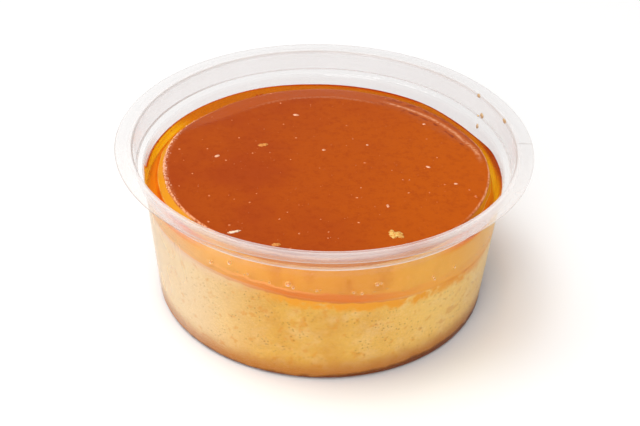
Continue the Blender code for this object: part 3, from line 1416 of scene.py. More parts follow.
    def line(self, point: Vector) -> float:
        """How strongly an edge shows as a thin brown line, which it does away from the front: a
        painted refraction line.

        Args:
            point: a point of the piece.

        Returns:
            A share from 0 to 1.
        """
        s = self.sizes
        bearing, radius, height = bearing_of(point), radius_of(point), point.z
        front = ease(0.1, 0.75, -math.sin(bearing))
        left = ease(0.5, 0.9, -math.cos(bearing))
        corner = near(0.08 * MM, 0.30 * MM, radius - s.seat_top_radius - 0.1 * MM)
        corner *= ease(s.rim_height - 1.0 * MM, s.rim_height - 0.4 * MM, height)
        brim = ease(s.rim_radius - 0.25 * MM, s.rim_radius, radius)
        shaded = ease(0.70, 0.95, toward(bearing, self.shaded_edge_bearing))
        ledge = near(0.1 * MM, 0.35 * MM, height - s.ledge_height + 0.2 * MM)
        ledge *= ease(s.seat_foot_radius - 0.3 * MM, s.seat_foot_radius, radius)
        seat_wall = ease(s.ledge_height + 0.3 * MM, s.ledge_height + 0.8 * MM, height)
        seat_wall *= fade(s.rim_height - 1.2 * MM, s.rim_height - 0.7 * MM, height)
        return max(
            corner * (1.0 - front) * 0.55,
            brim * max(blend(0.20, 0.34, front), 0.60 * shaded),
            ledge * (1.0 - front) * blend(0.30, 0.62, left),
            seat_wall * front * 0.03,
        )

    def face_outwards(self, piece: bpy.types.Object) -> None:
        """Turn the shell's faces out if the thickness left them inwards.

        Args:
            piece: the tub's piece.
        """
        body = bmesh.new()
        body.from_mesh(piece.data)
        inside_out = body.calc_volume(signed=True) < 0.0
        if inside_out:
            bmesh.ops.reverse_faces(body, faces=body.faces)
            body.to_mesh(piece.data)
        body.free()


# ------------------------------------------------------------------ the flan


@dataclass
class Flan:
    """The custard and its caramel layer.

    Swells and ripples are given by their height and their grain. Each lift of the line up to
    which syrup stains the side is given in mm, with the share from which it starts and its
    direction in degrees.
    """

    sizes: Measures
    segments: int = 288
    seed: float = 4.0
    floor_radii: tuple = (12.0 * MM, 30.0 * MM)
    heel_turn: tuple = (90, 68, 45, 22, 0)
    foot_steps: int = 30
    side_steps: int = 14
    layer_steps: int = 5
    top_steps: int = 90
    edge_turn: tuple = (15, 30, 45, 60, 75, 90)
    underside_shares: tuple = (0.3, 0.6, 0.9)
    roughness: float = 0.25 * MM
    swells: tuple = (0.06 * MM, 9.0 * MM)
    ripples: tuple = (0.018 * MM, 2.2 * MM)
    stain_bearing: float = -66.0
    line_lifts: tuple = ((-0.9, 0.80, -120.0), (-0.5, 0.85, -75.0), (0.5, 0.85, -32.0))
    brow: float = 0.925

    def build(self) -> None:
        """Model and dress the custard and the caramel layer on it."""
        self.custard()
        self.caramel()

    def custard(self) -> bpy.types.Object:
        """Model the custard body, which reaches just into the wall where it touches it.

        Returns:
            The piece.
        """
        s = self.sizes
        inset = s.shell - s.wetting
        floor = s.floor_rise + inset
        rings = [Ring.plain(radius, floor) for radius in self.floor_radii]
        rings.append(Ring.plain(s.floor_edge_radius - inset, floor))
        for degrees in self.heel_turn:
            angle = math.radians(degrees)
            reach = s.heel_radius - blend(inset, 0.1 * MM, math.sin(angle))
            radius = s.wall_foot_radius - s.heel_radius + reach * math.cos(angle)
            rings.append(Ring.plain(radius, s.heel_radius - reach * math.sin(angle)))
        rings += rising(self.foot_steps, lambda _: s.heel_radius, s.contact,
                        lambda _, height: s.filling(height))
        rings += rising(self.side_steps, s.contact, lambda b: s.layer(b) + 0.1 * MM, self.side)
        rings += self.underside()[::-1]
        piece = turn_rings("custard_body", rings, self.segments, Side.CAPPED, Side.CAPPED)
        # the fade and top-of-band values are painted light at the left
        store(piece, rise=self.rise, foot=self.foot, faded=self.faded,
              crest=lambda point: ease(-0.15, 0.25, -math.cos(bearing_of(point))),
              stain=lambda point: ease(0.66, 0.88, toward(bearing_of(point), self.stain_bearing)))
        smooth(piece, 60.0)
        dress(piece, BakedCustard().make(), Slot.CUSTARD, ["custard"])
        return piece

    def underside(self) -> list:
        """Rings of the face with which the caramel layer lies on the custard, from its middle out.

        Returns:
            The rings in order.
        """
        s = self.sizes
        return [
            Ring(lambda b, k=share: k * s.edge(b),
                 lambda b, k=share: s.top(b, k * s.edge(b)) - s.caramel_thickness)
            for share in self.underside_shares
        ]

    def rise(self, point: Vector) -> float:
        """Millimetres above the line up to which syrup has stained the custard's side.

        Args:
            point: a point of the piece.

        Returns:
            The height, which is negative below the line.
        """
        bearing = bearing_of(point)
        lift = sum(amount * ease(start, 1.0, toward(bearing, degrees))
                   for amount, start, degrees in self.line_lifts)
        return (point.z - self.sizes.contact(bearing)) / MM - lift

    def faded(self, point: Vector) -> float:
        """Painted light: how far the side fades to pale where the light falls at the left, up to
        just below the syrup's level.

        Args:
            point: a point of the piece.

        Returns:
            A share from 0 to 1.
        """
        level = self.sizes.sauce_height
        below = fade(level - 0.9 * MM, level - 0.4 * MM, point.z)
        return below * ease(0.15, 0.85, -math.cos(bearing_of(point)))

    def foot(self, point: Vector) -> float:
        """Millimetres above the base, less at the shaded right, where the brown skin and painted
        shade reach higher, and more at the lit left.

        Args:
            point: a point of the piece.

        Returns:
            The height in millimetres.
        """
        right = ease(0.3, 0.9, toward(bearing_of(point), -20.0))
        left = ease(0.3, 0.9, toward(bearing_of(point), -150.0))
        return point.z / MM - 1.3 * right + 0.5 * left

    def side(self, bearing: float, height: float) -> float:
        """The flan's side with its slight unevenness, which never passes the wall.

        Args:
            bearing: angle round the axis, in radians.
            height: height above the base.

        Returns:
            The radius.
        """
        s = self.sizes
        plain = s.side(bearing, height)
        free = s.filling(height) - plain
        rough = waviness(bearing, plain, height, 5.0 * MM, self.seed) * self.roughness
        return plain + rough * clamp(free / (1.0 * MM))

    def top(self, bearing: float, radius: float) -> float:
        """The caramel's top with faint swells and finer ripples.

        Args:
            bearing: angle round the axis, in radians.
            radius: distance from the axis.

        Returns:
            The height.
        """
        swell, swell_grain = self.swells
        ripple, ripple_grain = self.ripples
        swell *= waviness(bearing, radius, 0.0, swell_grain, self.seed + 3.0)
        ripple *= waviness(bearing, radius, 0.0, ripple_grain, self.seed + 5.0)
        return self.sizes.top(bearing, radius) + swell + ripple

    def caramel(self) -> bpy.types.Object:
        """Model the caramel layer with its rounded upper edge.

        Returns:
            The piece.
        """
        s = self.sizes
        rings = self.underside()
        rings += rising(self.layer_steps, s.layer, s.side_top, self.side, first=0)
        for degrees in self.edge_turn:
            angle = math.radians(degrees)
            inset = s.edge_rounding * (1.0 - math.cos(angle))
            lift = s.edge_rounding * math.sin(angle)
            rings.append(Ring(
                lambda b, i=inset: self.side(b, s.side_top(b)) - i,
                lambda b, f=lift: s.side_top(b) + f))
        for step in range(1, self.top_steps):
            share = 1.0 - step / self.top_steps
            rings.append(Ring(
                lambda b, k=share: k * (s.edge(b) - s.edge_rounding),
                lambda b, k=share: self.top(b, k * (s.edge(b) - s.edge_rounding))))
        piece = turn_rings("caramel_layer", rings, self.segments, Side.CAPPED, Side.CAPPED)
        store(piece, edge=self.edge_light, crease=self.crease_light, brink=self.brink,
              gold=self.side_gold, front=self.side_front, sunken=self.sunken)
        smooth(piece, 60.0)
        dress(piece, CaramelLayer().make(), Slot.CARAMEL, ["caramel_top"])
        return piece

    def sunken(self, point: Vector) -> float:
        """How far a point lies on the part that sags beyond the crease."""
        outside = ease(-0.005, 0.03, self.crease_share(point))
        return outside * ease(0.3, 0.8, self.sizes.sagging(bearing_of(point)))

    def edge_light(self, point: Vector) -> float:
        """Painted highlight along the rounded upper edge, mostly at its two sides, with a faint
        painted glow inside it at the left.

        Args:
            point: a point of the piece.

        Returns:
            A share from 0 to 1.
        """
        s = self.sizes
        bearing = bearing_of(point)
        inset = s.edge(bearing) - radius_of(point)
        left = ease(-0.25, 0.45, toward(bearing, 200.0))
        right = ease(0.80, 0.97, toward(bearing, -2.0))
        sunken = 0.55 * ease(0.75, 0.90, toward(bearing, 75.0))
        line = near(0.05 * MM, 0.40 * MM, inset - 0.30 * MM)
        halo = fade(0.2 * MM, 1.9 * MM, inset)
        halo *= 0.35 * ease(0.85, 0.97, toward(bearing, 180.0))
        high = ease(s.side_top(bearing) - 0.1 * MM, s.side_top(bearing) + 0.2 * MM, point.z)
        return high * max(line * max(left, 0.8 * right, sunken, 0.12), halo)

    def side_gold(self, point: Vector) -> float:
        """Painted light: how golden the layer's side is made, where light would come through the
        syrup beside it.

        Args:
            point: a point of the piece.

        Returns:
            A share from 0 to 1.
        """
        bearing = bearing_of(point)
        left = ease(0.55, 0.85, toward(bearing, 195.0))
        left = max(left, 0.35 * ease(0.30, 0.75, toward(bearing, 165.0)))
        right = ease(0.80, 0.95, toward(bearing, 0.0))
        return self.low_on_side(point) * max(left, right)

    def side_front(self, point: Vector) -> float:
        """How pale the layer's side is at the front, where it is seen through the wall.

        Args:
            point: a point of the piece.

        Returns:
            A share from 0 to 1.
        """
        level = self.sizes.sauce_height
        under = fade(level - 1.8 * MM, level - 1.2 * MM, point.z)
        under = max(under, 0.40 * self.low_on_side(point))
        return under * ease(0.35, 0.70, -math.sin(bearing_of(point)))

    def low_on_side(self, point: Vector) -> float:
        """1 on the layer's side and 0 above its rounded edge."""
        top = self.sizes.side_top(bearing_of(point))
        return fade(top, top + 0.4 * MM, point.z)

    def crease_share(self, point: Vector) -> float:
        """How far out of the crease a point lies, as a share of the flan's radius.

        Args:
            point: a point of the piece.

        Returns:
            The share, which is negative inside the crease.
        """
        bearing = bearing_of(point)
        share = radius_of(point) / self.sizes.edge(bearing)
        return share - self.sizes.crease(bearing) - 0.006 - wander(bearing, 0.006, 6.0)

    def crease_light(self, point: Vector) -> float:
        """Painted highlight: how strongly the crease round the sagging side is made to catch light.

        Args:
            point: a point of the piece.

        Returns:
            A share from 0 to 1.
        """
        bearing = bearing_of(point)
        at_crease = near(0.004, 0.020, self.crease_share(point))
        at_brow = near(0.004, 0.022, self.brow_share(point))
        right = stretch((2.0, 14.0), (58.0, 68.0), bearing)
        back = stretch((60.0, 75.0), (112.0, 138.0), bearing)
        return 0.85 * at_brow * right + 0.25 * at_crease * back

    def brow_share(self, point: Vector) -> float:
        """How far out of the bright brow at the right a point lies, as a share of the radius.

        Args:
            point: a point of the piece.

        Returns:
            The share, which is negative inside the brow.
        """
        bearing = bearing_of(point)
        place = self.brow - 0.05 * swing(25.0, 65.0, bearing)
        place += 0.03 * (1.0 - swing(10.0, 25.0, bearing))
        share = radius_of(point) / self.sizes.edge(bearing)
        return share - place - wander(bearing, 0.005, 9.0)

    def brink(self, point: Vector) -> float:
        """How dark the broken lines are that run along both sides of the crease.

        Args:
            point: a point of the piece.

        Returns:
            A share from 0 to 1.
        """
        share = self.brow_share(point)
        inner = near(0.004, 0.016, share + 0.045)
        outer = ease(0.03, 0.05, share)
        right = stretch((8.0, 20.0), (60.0, 75.0), bearing_of(point))
        return right * max(0.8 * inner, 0.5 * outer)


# ------------------------------------------------------------------ the syrup


@dataclass
class Syrup:
    """The syrup: a hoop between the flan and the wall, lapping over the flan's sagging edge."""

    sizes: Measures
    segments: int = 288
    inner_steps: int = 8
    top_steps: int = 22
    outer_steps: int = 12
    tuck: float = 0.25 * MM
    wall_creep: float = 0.12 * MM
    wall_creep_reach: float = 0.8 * MM
    flan_creep_share: float = 1.05
    flan_creep_reach: float = 0.6 * MM
    climb: float = 20.0
    covered_tint: float = 0.10
    ring_tint: float = 0.57
    back_tint: float = 0.85
    front_tint: float = 0.10
    climbing_tint: float = 0.34

    def build(self) -> bpy.types.Object:
        """Model and dress the syrup.

        Returns:
            The piece.
        """
        s = self.sizes
        rings = rising(self.inner_steps, self.foot, self.inner_top,
                       lambda b, height: s.side(b, height) - self.tuck, first=0)
        for step in range(self.top_steps + 1):
            def radius(bearing: float, share: float = step / self.top_steps) -> float:
                """Radius of this step from the flan to the wall."""
                inner = min(self.waterline(bearing), s.side(bearing, s.sauce_height) - self.tuck)
                return blend(inner, s.filling(s.sauce_height), share)
            rings.append(Ring(radius, lambda b, r=radius: self.surface(b, r(b))))
        rings += rising(self.outer_steps, self.outer_top, self.foot,
                        lambda _, height: s.filling(height) + 0.05 * MM)
        piece = turn_rings("caramel_syrup", rings, self.segments, Side.OPEN, Side.OPEN, hoop=True)
        store(piece, amber=self.amber, free=self.free)
        smooth(piece, 50.0)
        dress(piece, AmberSyrup().make(), Slot.SAUCE, ["caramel_sauce"])
        return piece

    def foot(self, bearing: float) -> float:
        """Height of the wedge's lowest line."""
        return self.sizes.contact(bearing) + 0.2 * MM

    def inner_top(self, bearing: float) -> float:
        """Height up to which the syrup lies along the flan's side."""
        return min(self.sizes.side_top(bearing), self.sizes.sauce_height) - 0.1 * MM

    def outer_top(self, bearing: float) -> float:
        """Height up to which the syrup lies along the wall."""
        return self.sizes.sauce_height - 1.15 * self.shortfall(bearing)

    def shortfall(self, bearing: float) -> float:
        """How far the syrup's top keeps off the wall, which it does at the back right.

        Args:
            bearing: angle round the axis, in radians.

        Returns:
            The distance.
        """
        rising_share = swing(12.0, 30.0, bearing)
        halfway = 1.0 - swing(36.0, 56.0, bearing)
        falling = 1.0 - swing(92.0, 116.0, bearing)
        return (0.01 + rising_share * (0.50 * falling + 0.75 * halfway)) * MM

    def climbing(self, bearing: float) -> float:
        """Where the syrup stands high up the wall: a stretch that starts in a tip at the left.

        Args:
            bearing: angle round the axis, in radians.

        Returns:
            A share from 0 to 1.
        """
        turn = math.degrees(bearing) % 360.0
        after_tip = 1.0 - 0.55 * ease(184.2, 190.0, turn)
        return ease(181.8, 184.2, turn) * after_tip * fade(196.0, 214.0, turn)

    def waterline(self, bearing: float) -> float:
        """Radius just inside the line at which the flan's top comes out of the syrup.

        Args:
            bearing: angle round the axis, in radians.

        Returns:
            The radius.
        """
        s = self.sizes
        radius = s.edge(bearing)
        step = 0.1 * MM
        while radius > 0.5 * s.edge(bearing) and s.top(bearing, radius) < s.sauce_height + 0.02 * MM:
            radius -= step
        return radius - self.tuck

    def surface(self, bearing: float, radius: float) -> float:
        """Height of the syrup's top: level, with a creep up the wall and a small one up the flan.

        Args:
            bearing: angle round the axis, in radians.
            radius: distance from the axis.

        Returns:
            The height.
        """
        s = self.sizes
        off_wall = s.filling(s.sauce_height) - radius
        at_wall = math.exp(-off_wall / self.wall_creep_reach)
        at_wall *= 1.0 + self.climb * self.climbing(bearing)
        at_flan = math.exp(-max(radius - s.edge(bearing), 0.0) / self.flan_creep_reach)
        flan_top = s.side_top(bearing) + s.edge_rounding
        dry = ease(s.sauce_height, s.sauce_height + 0.6 * MM, flan_top)
        short = self.shortfall(bearing)
        fall = 1.2 * short * ease(-1.15 * short, -0.05 * short, -off_wall)
        creep = self.wall_creep * (at_wall + self.flan_creep_share * at_flan * dry)
        return s.sauce_height + creep - fall

    def amber(self, point: Vector) -> float:
        """How deep the syrup's tint is at a point, with painted shade at the wall and beside the
        flan's edge, and painted caustic streaks.

        Args:
            point: a point of the piece.

        Returns:
            A share from 0 to 1.
        """
        s = self.sizes
        bearing, radius = bearing_of(point), radius_of(point)
        if point.z < s.sauce_height - 1.8 * MM or radius > s.filling(point.z) + 0.045 * MM:
            return self.covered_tint
        off_edge, off_wall = radius - s.edge(bearing), radius - s.filling(s.sauce_height)
        back = stretch((14.0, 30.0), (144.0, 160.0), bearing)
        right = ease(0.5, 0.9, math.cos(bearing))
        front = ease(0.60, 0.85, -math.sin(bearing))
        ring = ease(-0.5 * MM, blend(0.5, -0.1, back) * MM, off_edge)
        # painted caustic streaks round the ring
        streak = noise.noise(Vector((
            radius / (0.9 * MM), math.cos(bearing) * 2.6, math.sin(bearing) * 2.6)))
        # painted shade in the deep gap beside the flan's edge at the left
        gap = math.exp(-(off_edge / (0.9 * MM)) ** 2)
        gap *= ease(0.80, 0.95, toward(bearing, 178.0))
        tint = self.ring_tint + 0.08 * right + 0.18 * streak + 0.09 * gap
        tint = blend(tint, self.back_tint, back)
        tint = blend(tint, self.front_tint, front)
        at_wall = ease(-1.4 * MM, -0.3 * MM, off_wall)
        tint = blend(tint, self.climbing_tint, self.climbing(bearing) * at_wall)
        # painted shade: a dark line where the syrup meets the wall, wider at the right
        rim = ease(blend(-0.8, -2.4, right) * MM, -0.35 * MM, off_wall)
        rim *= ease(-0.25, 0.15, math.sin(bearing)) * (1.0 - back)
        rim *= fade(0.0, 0.3, self.climbing(bearing))
        return clamp(blend(0.04 * back, tint + blend(0.35, 0.50, right) * rim, ring))

    def free(self, point: Vector) -> float:
        """1 on the open surface and 0 where the syrup meets the wall or the custard.

        Args:
            point: a point of the piece.

        Returns:
            A share from 0 to 1.
        """
        level = self.sizes.sauce_height
        open_top = ease(level - 0.4 * MM, level - 0.1 * MM, point.z)
        return open_top * ease(0.05 * MM, 0.3 * MM, self.sizes.filling(level) - radius_of(point))


# ------------------------------------------------------------------ bubbles, flakes and drops


@dataclass(frozen=True)
class Crumb:
    """A crumb or flake on the caramel: where it lies, its three sizes and its turn, in mm."""

    east: float
    north: float
    length: float
    width: float
    height: float
    turn: float


@dataclass(frozen=True)
class Bubble:
    """A bubble caught against the wall: its bearing in degrees, its height and size in mm."""

    bearing: float
    height: float
    size: float


@dataclass(frozen=True)
class Drop:
    """A splashed drop: its bearing in degrees, its place, and its width and height in mm."""

    bearing: float
    radius: float
    level: float
    width: float
    height: float


def placed(spot: Vector, turn: float, length: float, width: float, height: float) -> Matrix:
    """Where a copy goes, with its turn round the vertical in radians and its three sizes."""
    sizes = Matrix.Diagonal((length, width, height, 1.0))
    return Matrix.Translation(spot) @ Matrix.Rotation(turn, 4, "Z") @ sizes


@dataclass
class Scatter:
    """Bubbles, specks, flakes and splashes, each kind one piece."""

    sizes: Measures
    flan: Flan
    seed: int = 7
    top_count: int = 190
    froth_count: int = 300
    froth_bearing: float = 180.0
    caught_count: int = 150
    caught_rise: float = 3.2
    pearls: tuple = (
        Crumb(-30.5, 2.0, 1.7, 1.1, 0.5, 40.0), Crumb(-8.8, 26.5, 1.9, 1.0, 0.5, -10.0),
        Crumb(17.7, -20.7, 0.8, 1.5, 0.5, 10.0), Crumb(29.6, -0.3, 1.5, 0.8, 0.4, -35.0),
        Crumb(29.5, 23.6, 1.0, 0.7, 0.4, 0.0), Crumb(-0.1, 7.1, 1.1, 0.9, 0.4, 0.0),
        Crumb(12.4, 10.6, 0.8, 0.7, 0.4, 0.0), Crumb(37.0, -8.6, 1.2, 0.7, 0.4, 0.0),
    )
    flakes: tuple = (
        Crumb(-17.8, 8.8, 2.8, 1.5, 0.35, 12.0), Crumb(-11.8, -40.4, 2.2, 1.4, 0.6, 0.0),
    )
    crumbs: tuple = (
        Crumb(19.5, -34.2, 3.4, 2.4, 1.1, 8.0), Crumb(18.3, -33.1, 1.8, 1.3, 0.9, 60.0),
        Crumb(20.8, -34.9, 1.7, 1.2, 0.8, -40.0), Crumb(19.0, -35.3, 1.4, 1.0, 0.8, 0.0),
    )
    slivers: tuple = (
        Crumb(-23.1, -35.1, 3.4, 0.9, 0.5, 20.0),
    )
    caught: tuple = (
        Bubble(-125.0, 33.9, 1.3), Bubble(-118.0, 36.4, 1.4), Bubble(-99.5, 33.7, 1.7),
        Bubble(-98.0, 32.9, 1.1), Bubble(-91.0, 32.5, 0.9), Bubble(-80.0, 31.6, 0.9),
        Bubble(-73.0, 33.5, 1.3), Bubble(-71.8, 33.7, 0.9), Bubble(-112.0, 34.6, 0.8),
    )
    drop_depth: float = 0.7 * MM
    wall_drop_level: float = 39.6 * MM
    mark_bearing: float = 0.8
    mark_radius: float = 56.2 * MM
    mark_size: tuple = (4.0 * MM, 0.22 * MM, 0.12 * MM)
    mark_rounding: float = 0.04 * MM
    chance: random.Random = field(init=False)

    def __post_init__(self) -> None:
        """Seed the draws."""
        self.chance = random.Random(self.seed)

    def build(self) -> None:
        """Model and dress every kind."""
        self.top_bubbles()
        self.edge_grains()
        self.pearl_bubbles()
        self.wall_bubbles()
        self.crumb("golden_flakes", self.flakes, linear(226, 150, 66), linear(204, 120, 40))
        self.crumb("golden_crumb", self.crumbs, linear(240, 200, 110), linear(214, 140, 50))
        self.crumb("pale_sliver", self.slivers, linear(250, 232, 208), linear(232, 186, 140))
        self.splashes()
        self.mould_mark()

    def strew(self, name: str, template: bpy.types.Object, places: Iterable[Matrix],
              finish: Plain | ClearBubble, slot: Slot = Slot.CARAMEL) -> bpy.types.Object:
        """Copy a template to its places, as one dressed piece.

        Args:
            name: the piece's name.
            template: the modelled shape.
            places: where its copies go.
            finish: their finish.
            slot: the record's slot that their finish stands for, which is only logged.

        Returns:
            The piece.
        """
        piece = join(name, copies(template, places))
        dress(piece, finish.make(), slot)
        return piece

    def bead(self, name: str, segments: int, rings: int) -> bpy.types.Object:
        """Model a bead one unit across, smooth all over.

        Args:
            name: the template's name.
            segments: points round it.
            rings: rings from pole to pole.

        Returns:
            The template.
        """
        let_go()
        bpy.ops.mesh.primitive_uv_sphere_add(segments=segments, ring_count=rings, radius=0.5)
        item = bpy.context.active_object
        item.name = name
        bpy.ops.object.shade_smooth()
        return item

    def pebble(self, name: str) -> bpy.types.Object:
        """Model an uneven pebble about one unit across.

        Args:
            name: the template's name.

        Returns:
            The template.
        """
        let_go()
        bpy.ops.mesh.primitive_ico_sphere_add(subdivisions=4, radius=0.5)
        item = bpy.context.active_object
        item.name = name
        for point in item.data.vertices:
            rough = noise.noise(point.co * 4.0 + Vector((self.chance.random(), 1.0, 2.0)) * 0.02)
            fine = noise.noise(point.co * 11.0)
            point.co *= 1.0 + 0.45 * rough + 0.18 * fine
        bpy.ops.object.shade_smooth()
        return item

    def on_top(self, east: float, north: float, sink: float = 0.0) -> Vector:
        """A place on the flan's top, or on the syrup where that stands higher.

        Args:
            east: how far it lies along +X.
            north: how far it lies along +Y.
            sink: how deep it is sunk in.

        Returns:
            The place.
        """
        bearing, radius = math.atan2(north, east), math.hypot(east, north)
        height = max(self.flan.top(bearing, radius), self.sizes.sauce_height)
        return Vector((east, north, height - sink))

    def top_bubbles(self) -> bpy.types.Object:
        """Tiny bubbles set in the caramel's top.

        Returns:
            The piece.
        """
        places = []
        for _ in range(self.top_count):
            bearing = self.chance.uniform(-math.pi, math.pi)
            reach = self.sizes.edge(bearing) - 1.0 * MM
            spot = polar(bearing, math.sqrt(self.chance.random()) * reach, 0.0)
            size = (0.16 + 0.60 * self.chance.random() ** 4) * MM
            longer = size * self.chance.uniform(0.9, 1.5)
            turn = self.chance.uniform(0.0, math.pi)
            spot = self.on_top(spot.x, spot.y, 0.12 * size)
            places.append(placed(spot, turn, longer, size, size * 0.7))
        finish = Plain("pale_bubble", linear(226, 138, 84), linear(208, 108, 50), roughness=0.2)
        return self.strew("top_bubbles", self.bead("bubble", 10, 7), places, finish)

    def edge_grains(self) -> bpy.types.Object:
        """Froth of very small bubbles along the left of the caramel's edge.

        Returns:
            The piece.
        """
        s = self.sizes
        places = []
        for _ in range(self.froth_count):
            bearing = math.radians(self.chance.gauss(self.froth_bearing, 13.0))
            radius = s.edge(bearing) - abs(self.chance.gauss(0.25, 0.45)) * MM
            size = (0.16 + 0.30 * self.chance.random() ** 2) * MM
            spot = polar(bearing, radius, self.flan.top(bearing, radius))
            inset = s.edge(bearing) - radius
            if inset < s.edge_rounding:
                spot.z -= s.edge_rounding - math.sqrt(
                    max(s.edge_rounding ** 2 - (s.edge_rounding - inset) ** 2, 0.0))
            places.append(placed(spot, 0.0, size, size, size))
        finish = Plain("froth", linear(252, 206, 174), linear(236, 160, 118), roughness=0.25)
        return self.strew("edge_froth", self.bead("grain", 8, 6), places, finish)

    def pearl_bubbles(self) -> bpy.types.Object:
        """The larger pale bubbles on the top.

        Returns:
            The piece.
        """
        places = self.laid(self.pearls)
        finish = Plain("pearl", linear(240, 186, 150), linear(220, 138, 90), roughness=0.2)
        return self.strew("pearl_bubbles", self.bead("pearl", 16, 10), places, finish)

    def laid(self, things: Sequence[Crumb]) -> list:
        """Where things that lie on the top go, with the lower half of each sunk in.

        Args:
            things: what is laid.

        Returns:
            A place for each.
        """
        return [
            placed(self.on_top(thing.east * MM, thing.north * MM), math.radians(thing.turn),
                   thing.length * MM, thing.width * MM, thing.height * MM)
            for thing in things
        ]

    def crumb(self, name: str, things: Sequence[Crumb], light: tuple,
              dark: tuple) -> bpy.types.Object:
        """Lay crumbs or flakes of one kind on the top.

        Args:
            name: the piece's name.
            things: where each lies and how large it is.
            light: the main colour.
            dark: the colour of its darker grains.

        Returns:
            The joined piece.
        """
        finish = Plain(name + "_crust", light, dark, grain=1600.0, roughness=0.55)
        return self.strew(name, self.pebble(name + "_bit"), self.laid(things), finish)

    def wall_bubbles(self) -> bpy.types.Object:
        """Bubbles caught against the wall, above the line where the syrup ends.

        Returns:
            The piece.
        """
        s = self.sizes
        bubbles = list(self.caught)
        for _ in range(self.caught_count):
            bearing = self.chance.uniform(-180.0, 180.0)
            band = s.contact(math.radians(bearing)) / MM + self.caught_rise
            size = 0.2 + 0.8 * self.chance.random() ** 6
            bubbles.append(Bubble(bearing, band + self.chance.gauss(0.0, 0.8), size))
        places = []
        for bubble in bubbles:
            bearing = math.radians(bubble.bearing)
            height, size = bubble.height * MM, bubble.size * MM
            spot = polar(bearing, s.filling(height) - 0.22 * size, height)
            taller = size * self.chance.uniform(0.8, 1.1)
            places.append(placed(spot, bearing, size * 0.6, size, taller))
        template = self.bead("caught_bubble", 14, 10)
        return self.strew("wall_bubbles", template, places, ClearBubble(), Slot.SAUCE)

    def splashes(self) -> bpy.types.Object:
        """Drops of syrup splashed on the rim and the wall at the right.

        Returns:
            The piece.
        """
        s = self.sizes
        on_rim = (s.seat_top_radius, s.rim_height - 0.7 * MM)
        drops = (
            Drop(32.0, *on_rim, 1.3, 1.3),
            Drop(15.2, *on_rim, 2.2, 1.3),
            Drop(27.8, s.seat_foot_radius - 0.4 * MM, s.ledge_height + 1.1 * MM, 1.7, 1.7),
            Drop(27.0, s.filling(self.wall_drop_level), self.wall_drop_level, 0.9, 1.7),
            Drop(29.6, s.seat_foot_radius - 0.5 * MM, s.ledge_height + 0.3 * MM, 0.8, 0.6),
        )
        places = []
        for drop in drops:
            bearing = math.radians(drop.bearing)
            spot = polar(bearing, drop.radius, drop.level)
            places.append(placed(
                spot, bearing, self.drop_depth, drop.width * MM, drop.height * MM))
        finish = Plain("amber_drop", linear(240, 206, 150), linear(206, 156, 84),
                       roughness=0.12, opacity=0.62)
        return self.strew("syrup_splashes", self.bead("drop", 16, 12), places, finish, Slot.SAUCE)

    def mould_mark(self) -> bpy.types.Object:
        """A fine raised line across the flange where the mould parted.

        Returns:
            The piece.
        """
        let_go()
        bpy.ops.mesh.primitive_cube_add(size=1.0)
        item = bpy.context.active_object
        item.name = "mould_mark"
        bearing = math.radians(self.mark_bearing)
        item.scale = self.mark_size
        item.rotation_euler = (0.0, 0.0, bearing)
        item.location = polar(bearing, self.mark_radius, self.sizes.rim_height - 0.12 * MM)
        seat(item)
        modify(item, "BEVEL", width=self.mark_rounding, segments=2)
        finish = Plain("mark_grey", linear(214, 208, 204), linear(200, 194, 190))
        dress(item, finish.make(), Slot.PLASTIC)
        return item


# ------------------------------------------------------------------ studio


@dataclass(frozen=True)
class Lamp:
    """One soft rectangular light, aimed at the flan."""

    name: str
    place: tuple
    size: float
    power: float
    color: tuple = (1.0, 1.0, 1.0)


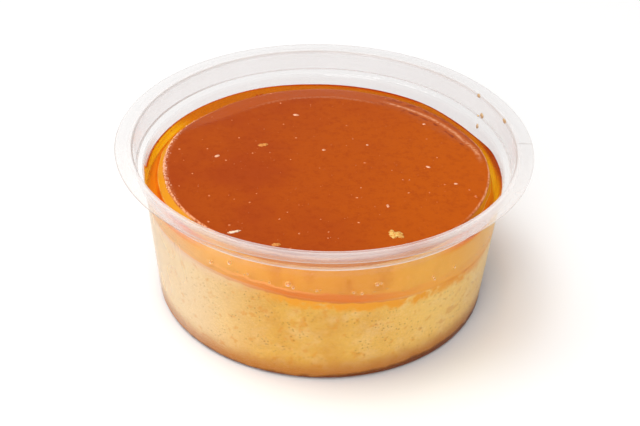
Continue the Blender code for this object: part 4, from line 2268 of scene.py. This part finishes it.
@dataclass
class Studio:
    """The floor, the lights and the camera."""

    aim: Vector = field(default_factory=lambda: Vector((0.0, 0.0, 0.020)))
    distance: float = 0.400
    elevation: float = math.radians(34.43)
    roll: float = math.radians(1.81)
    lens: float = 77.04
    lift: float = 0.00194
    slide: float = -0.00060
    sensor_width: float = 36.0
    nearest: float = 0.01
    floor_size: float = 8.0
    floor_white: tuple = (0.93, 0.93, 0.93, 1.0)
    floor_roughness: float = 0.9
    lamps: tuple = (
        Lamp("key", (-0.60, 0.02, 1.70), 0.9, 18.8, (1.0, 0.99, 0.98)),
        Lamp("overhead", (0.10, -0.50, 1.80), 1.2, 6.2),
        Lamp("front", (-0.40, -1.42, 0.85), 1.0, 11.0),
    )
    world: float = 0.35

    def build(self) -> None:
        """Set up the studio."""
        self.floor()
        for lamp in self.lamps:
            self.light(lamp)
        self.surroundings()
        self.camera()
        scene = bpy.context.scene
        scene.view_settings.view_transform = "Standard"
        scene.cycles.transparent_max_bounces = 32

    def floor(self) -> None:
        """A plain white floor."""
        let_go()
        bpy.ops.mesh.primitive_plane_add(size=self.floor_size)
        floor = bpy.context.active_object
        floor.name = "floor"
        sheet = Sheet("floor_white")
        shader = sheet.solid(self.floor_white, self.floor_roughness, {"Specular IOR Level": 0.1})
        floor.data.materials.append(sheet.finish(shader))

    def light(self, lamp: Lamp) -> None:
        """Place one lamp and aim it.

        Args:
            lamp: the lamp.
        """
        data = bpy.data.lights.new(lamp.name, "AREA")
        data.size = lamp.size
        data.energy = lamp.power
        data.color = lamp.color
        item = bpy.data.objects.new(lamp.name, data)
        item.location = lamp.place
        direction = self.aim - Vector(lamp.place)
        item.rotation_euler = direction.to_track_quat("-Z", "Y").to_euler()
        bpy.context.scene.collection.objects.link(item)

    def surroundings(self) -> None:
        """A dim even room round the table."""
        world = bpy.data.worlds.new("room")
        world.use_nodes = True
        background = world.node_tree.nodes["Background"]
        background.inputs["Color"].default_value = WHITE
        background.inputs["Strength"].default_value = self.world
        bpy.context.scene.world = world

    def camera(self) -> None:
        """The camera, a little above the table's level and slightly tilted."""
        forward = Vector((0.0, math.cos(self.elevation), -math.sin(self.elevation)))
        right = Vector((1.0, 0.0, 0.0))
        up = right.cross(forward)
        turned_right = right * math.cos(self.roll) + up * math.sin(self.roll)
        turned_up = up * math.cos(self.roll) - right * math.sin(self.roll)
        place = self.aim - forward * self.distance
        place += turned_up * self.lift + turned_right * self.slide
        data = bpy.data.cameras.new("camera")
        data.lens = self.lens
        data.sensor_width = self.sensor_width
        data.clip_start = self.nearest
        camera = bpy.data.objects.new("camera", data)
        axes = Matrix((turned_right, turned_up, -forward)).transposed().to_4x4()
        camera.matrix_world = Matrix.Translation(place) @ axes
        bpy.context.scene.collection.objects.link(camera)
        bpy.context.scene.camera = camera


# ------------------------------------------------------------------ all together


def main() -> None:
    """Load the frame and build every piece."""
    logging.basicConfig(level=logging.INFO, format="%(name)s %(message)s")
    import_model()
    sizes = Measures()
    Studio().build()
    Tub(sizes).build()
    flan = Flan(sizes)
    flan.build()
    Syrup(sizes).build()
    Scatter(sizes, flan).build()


if __name__ == "__main__":
    main()
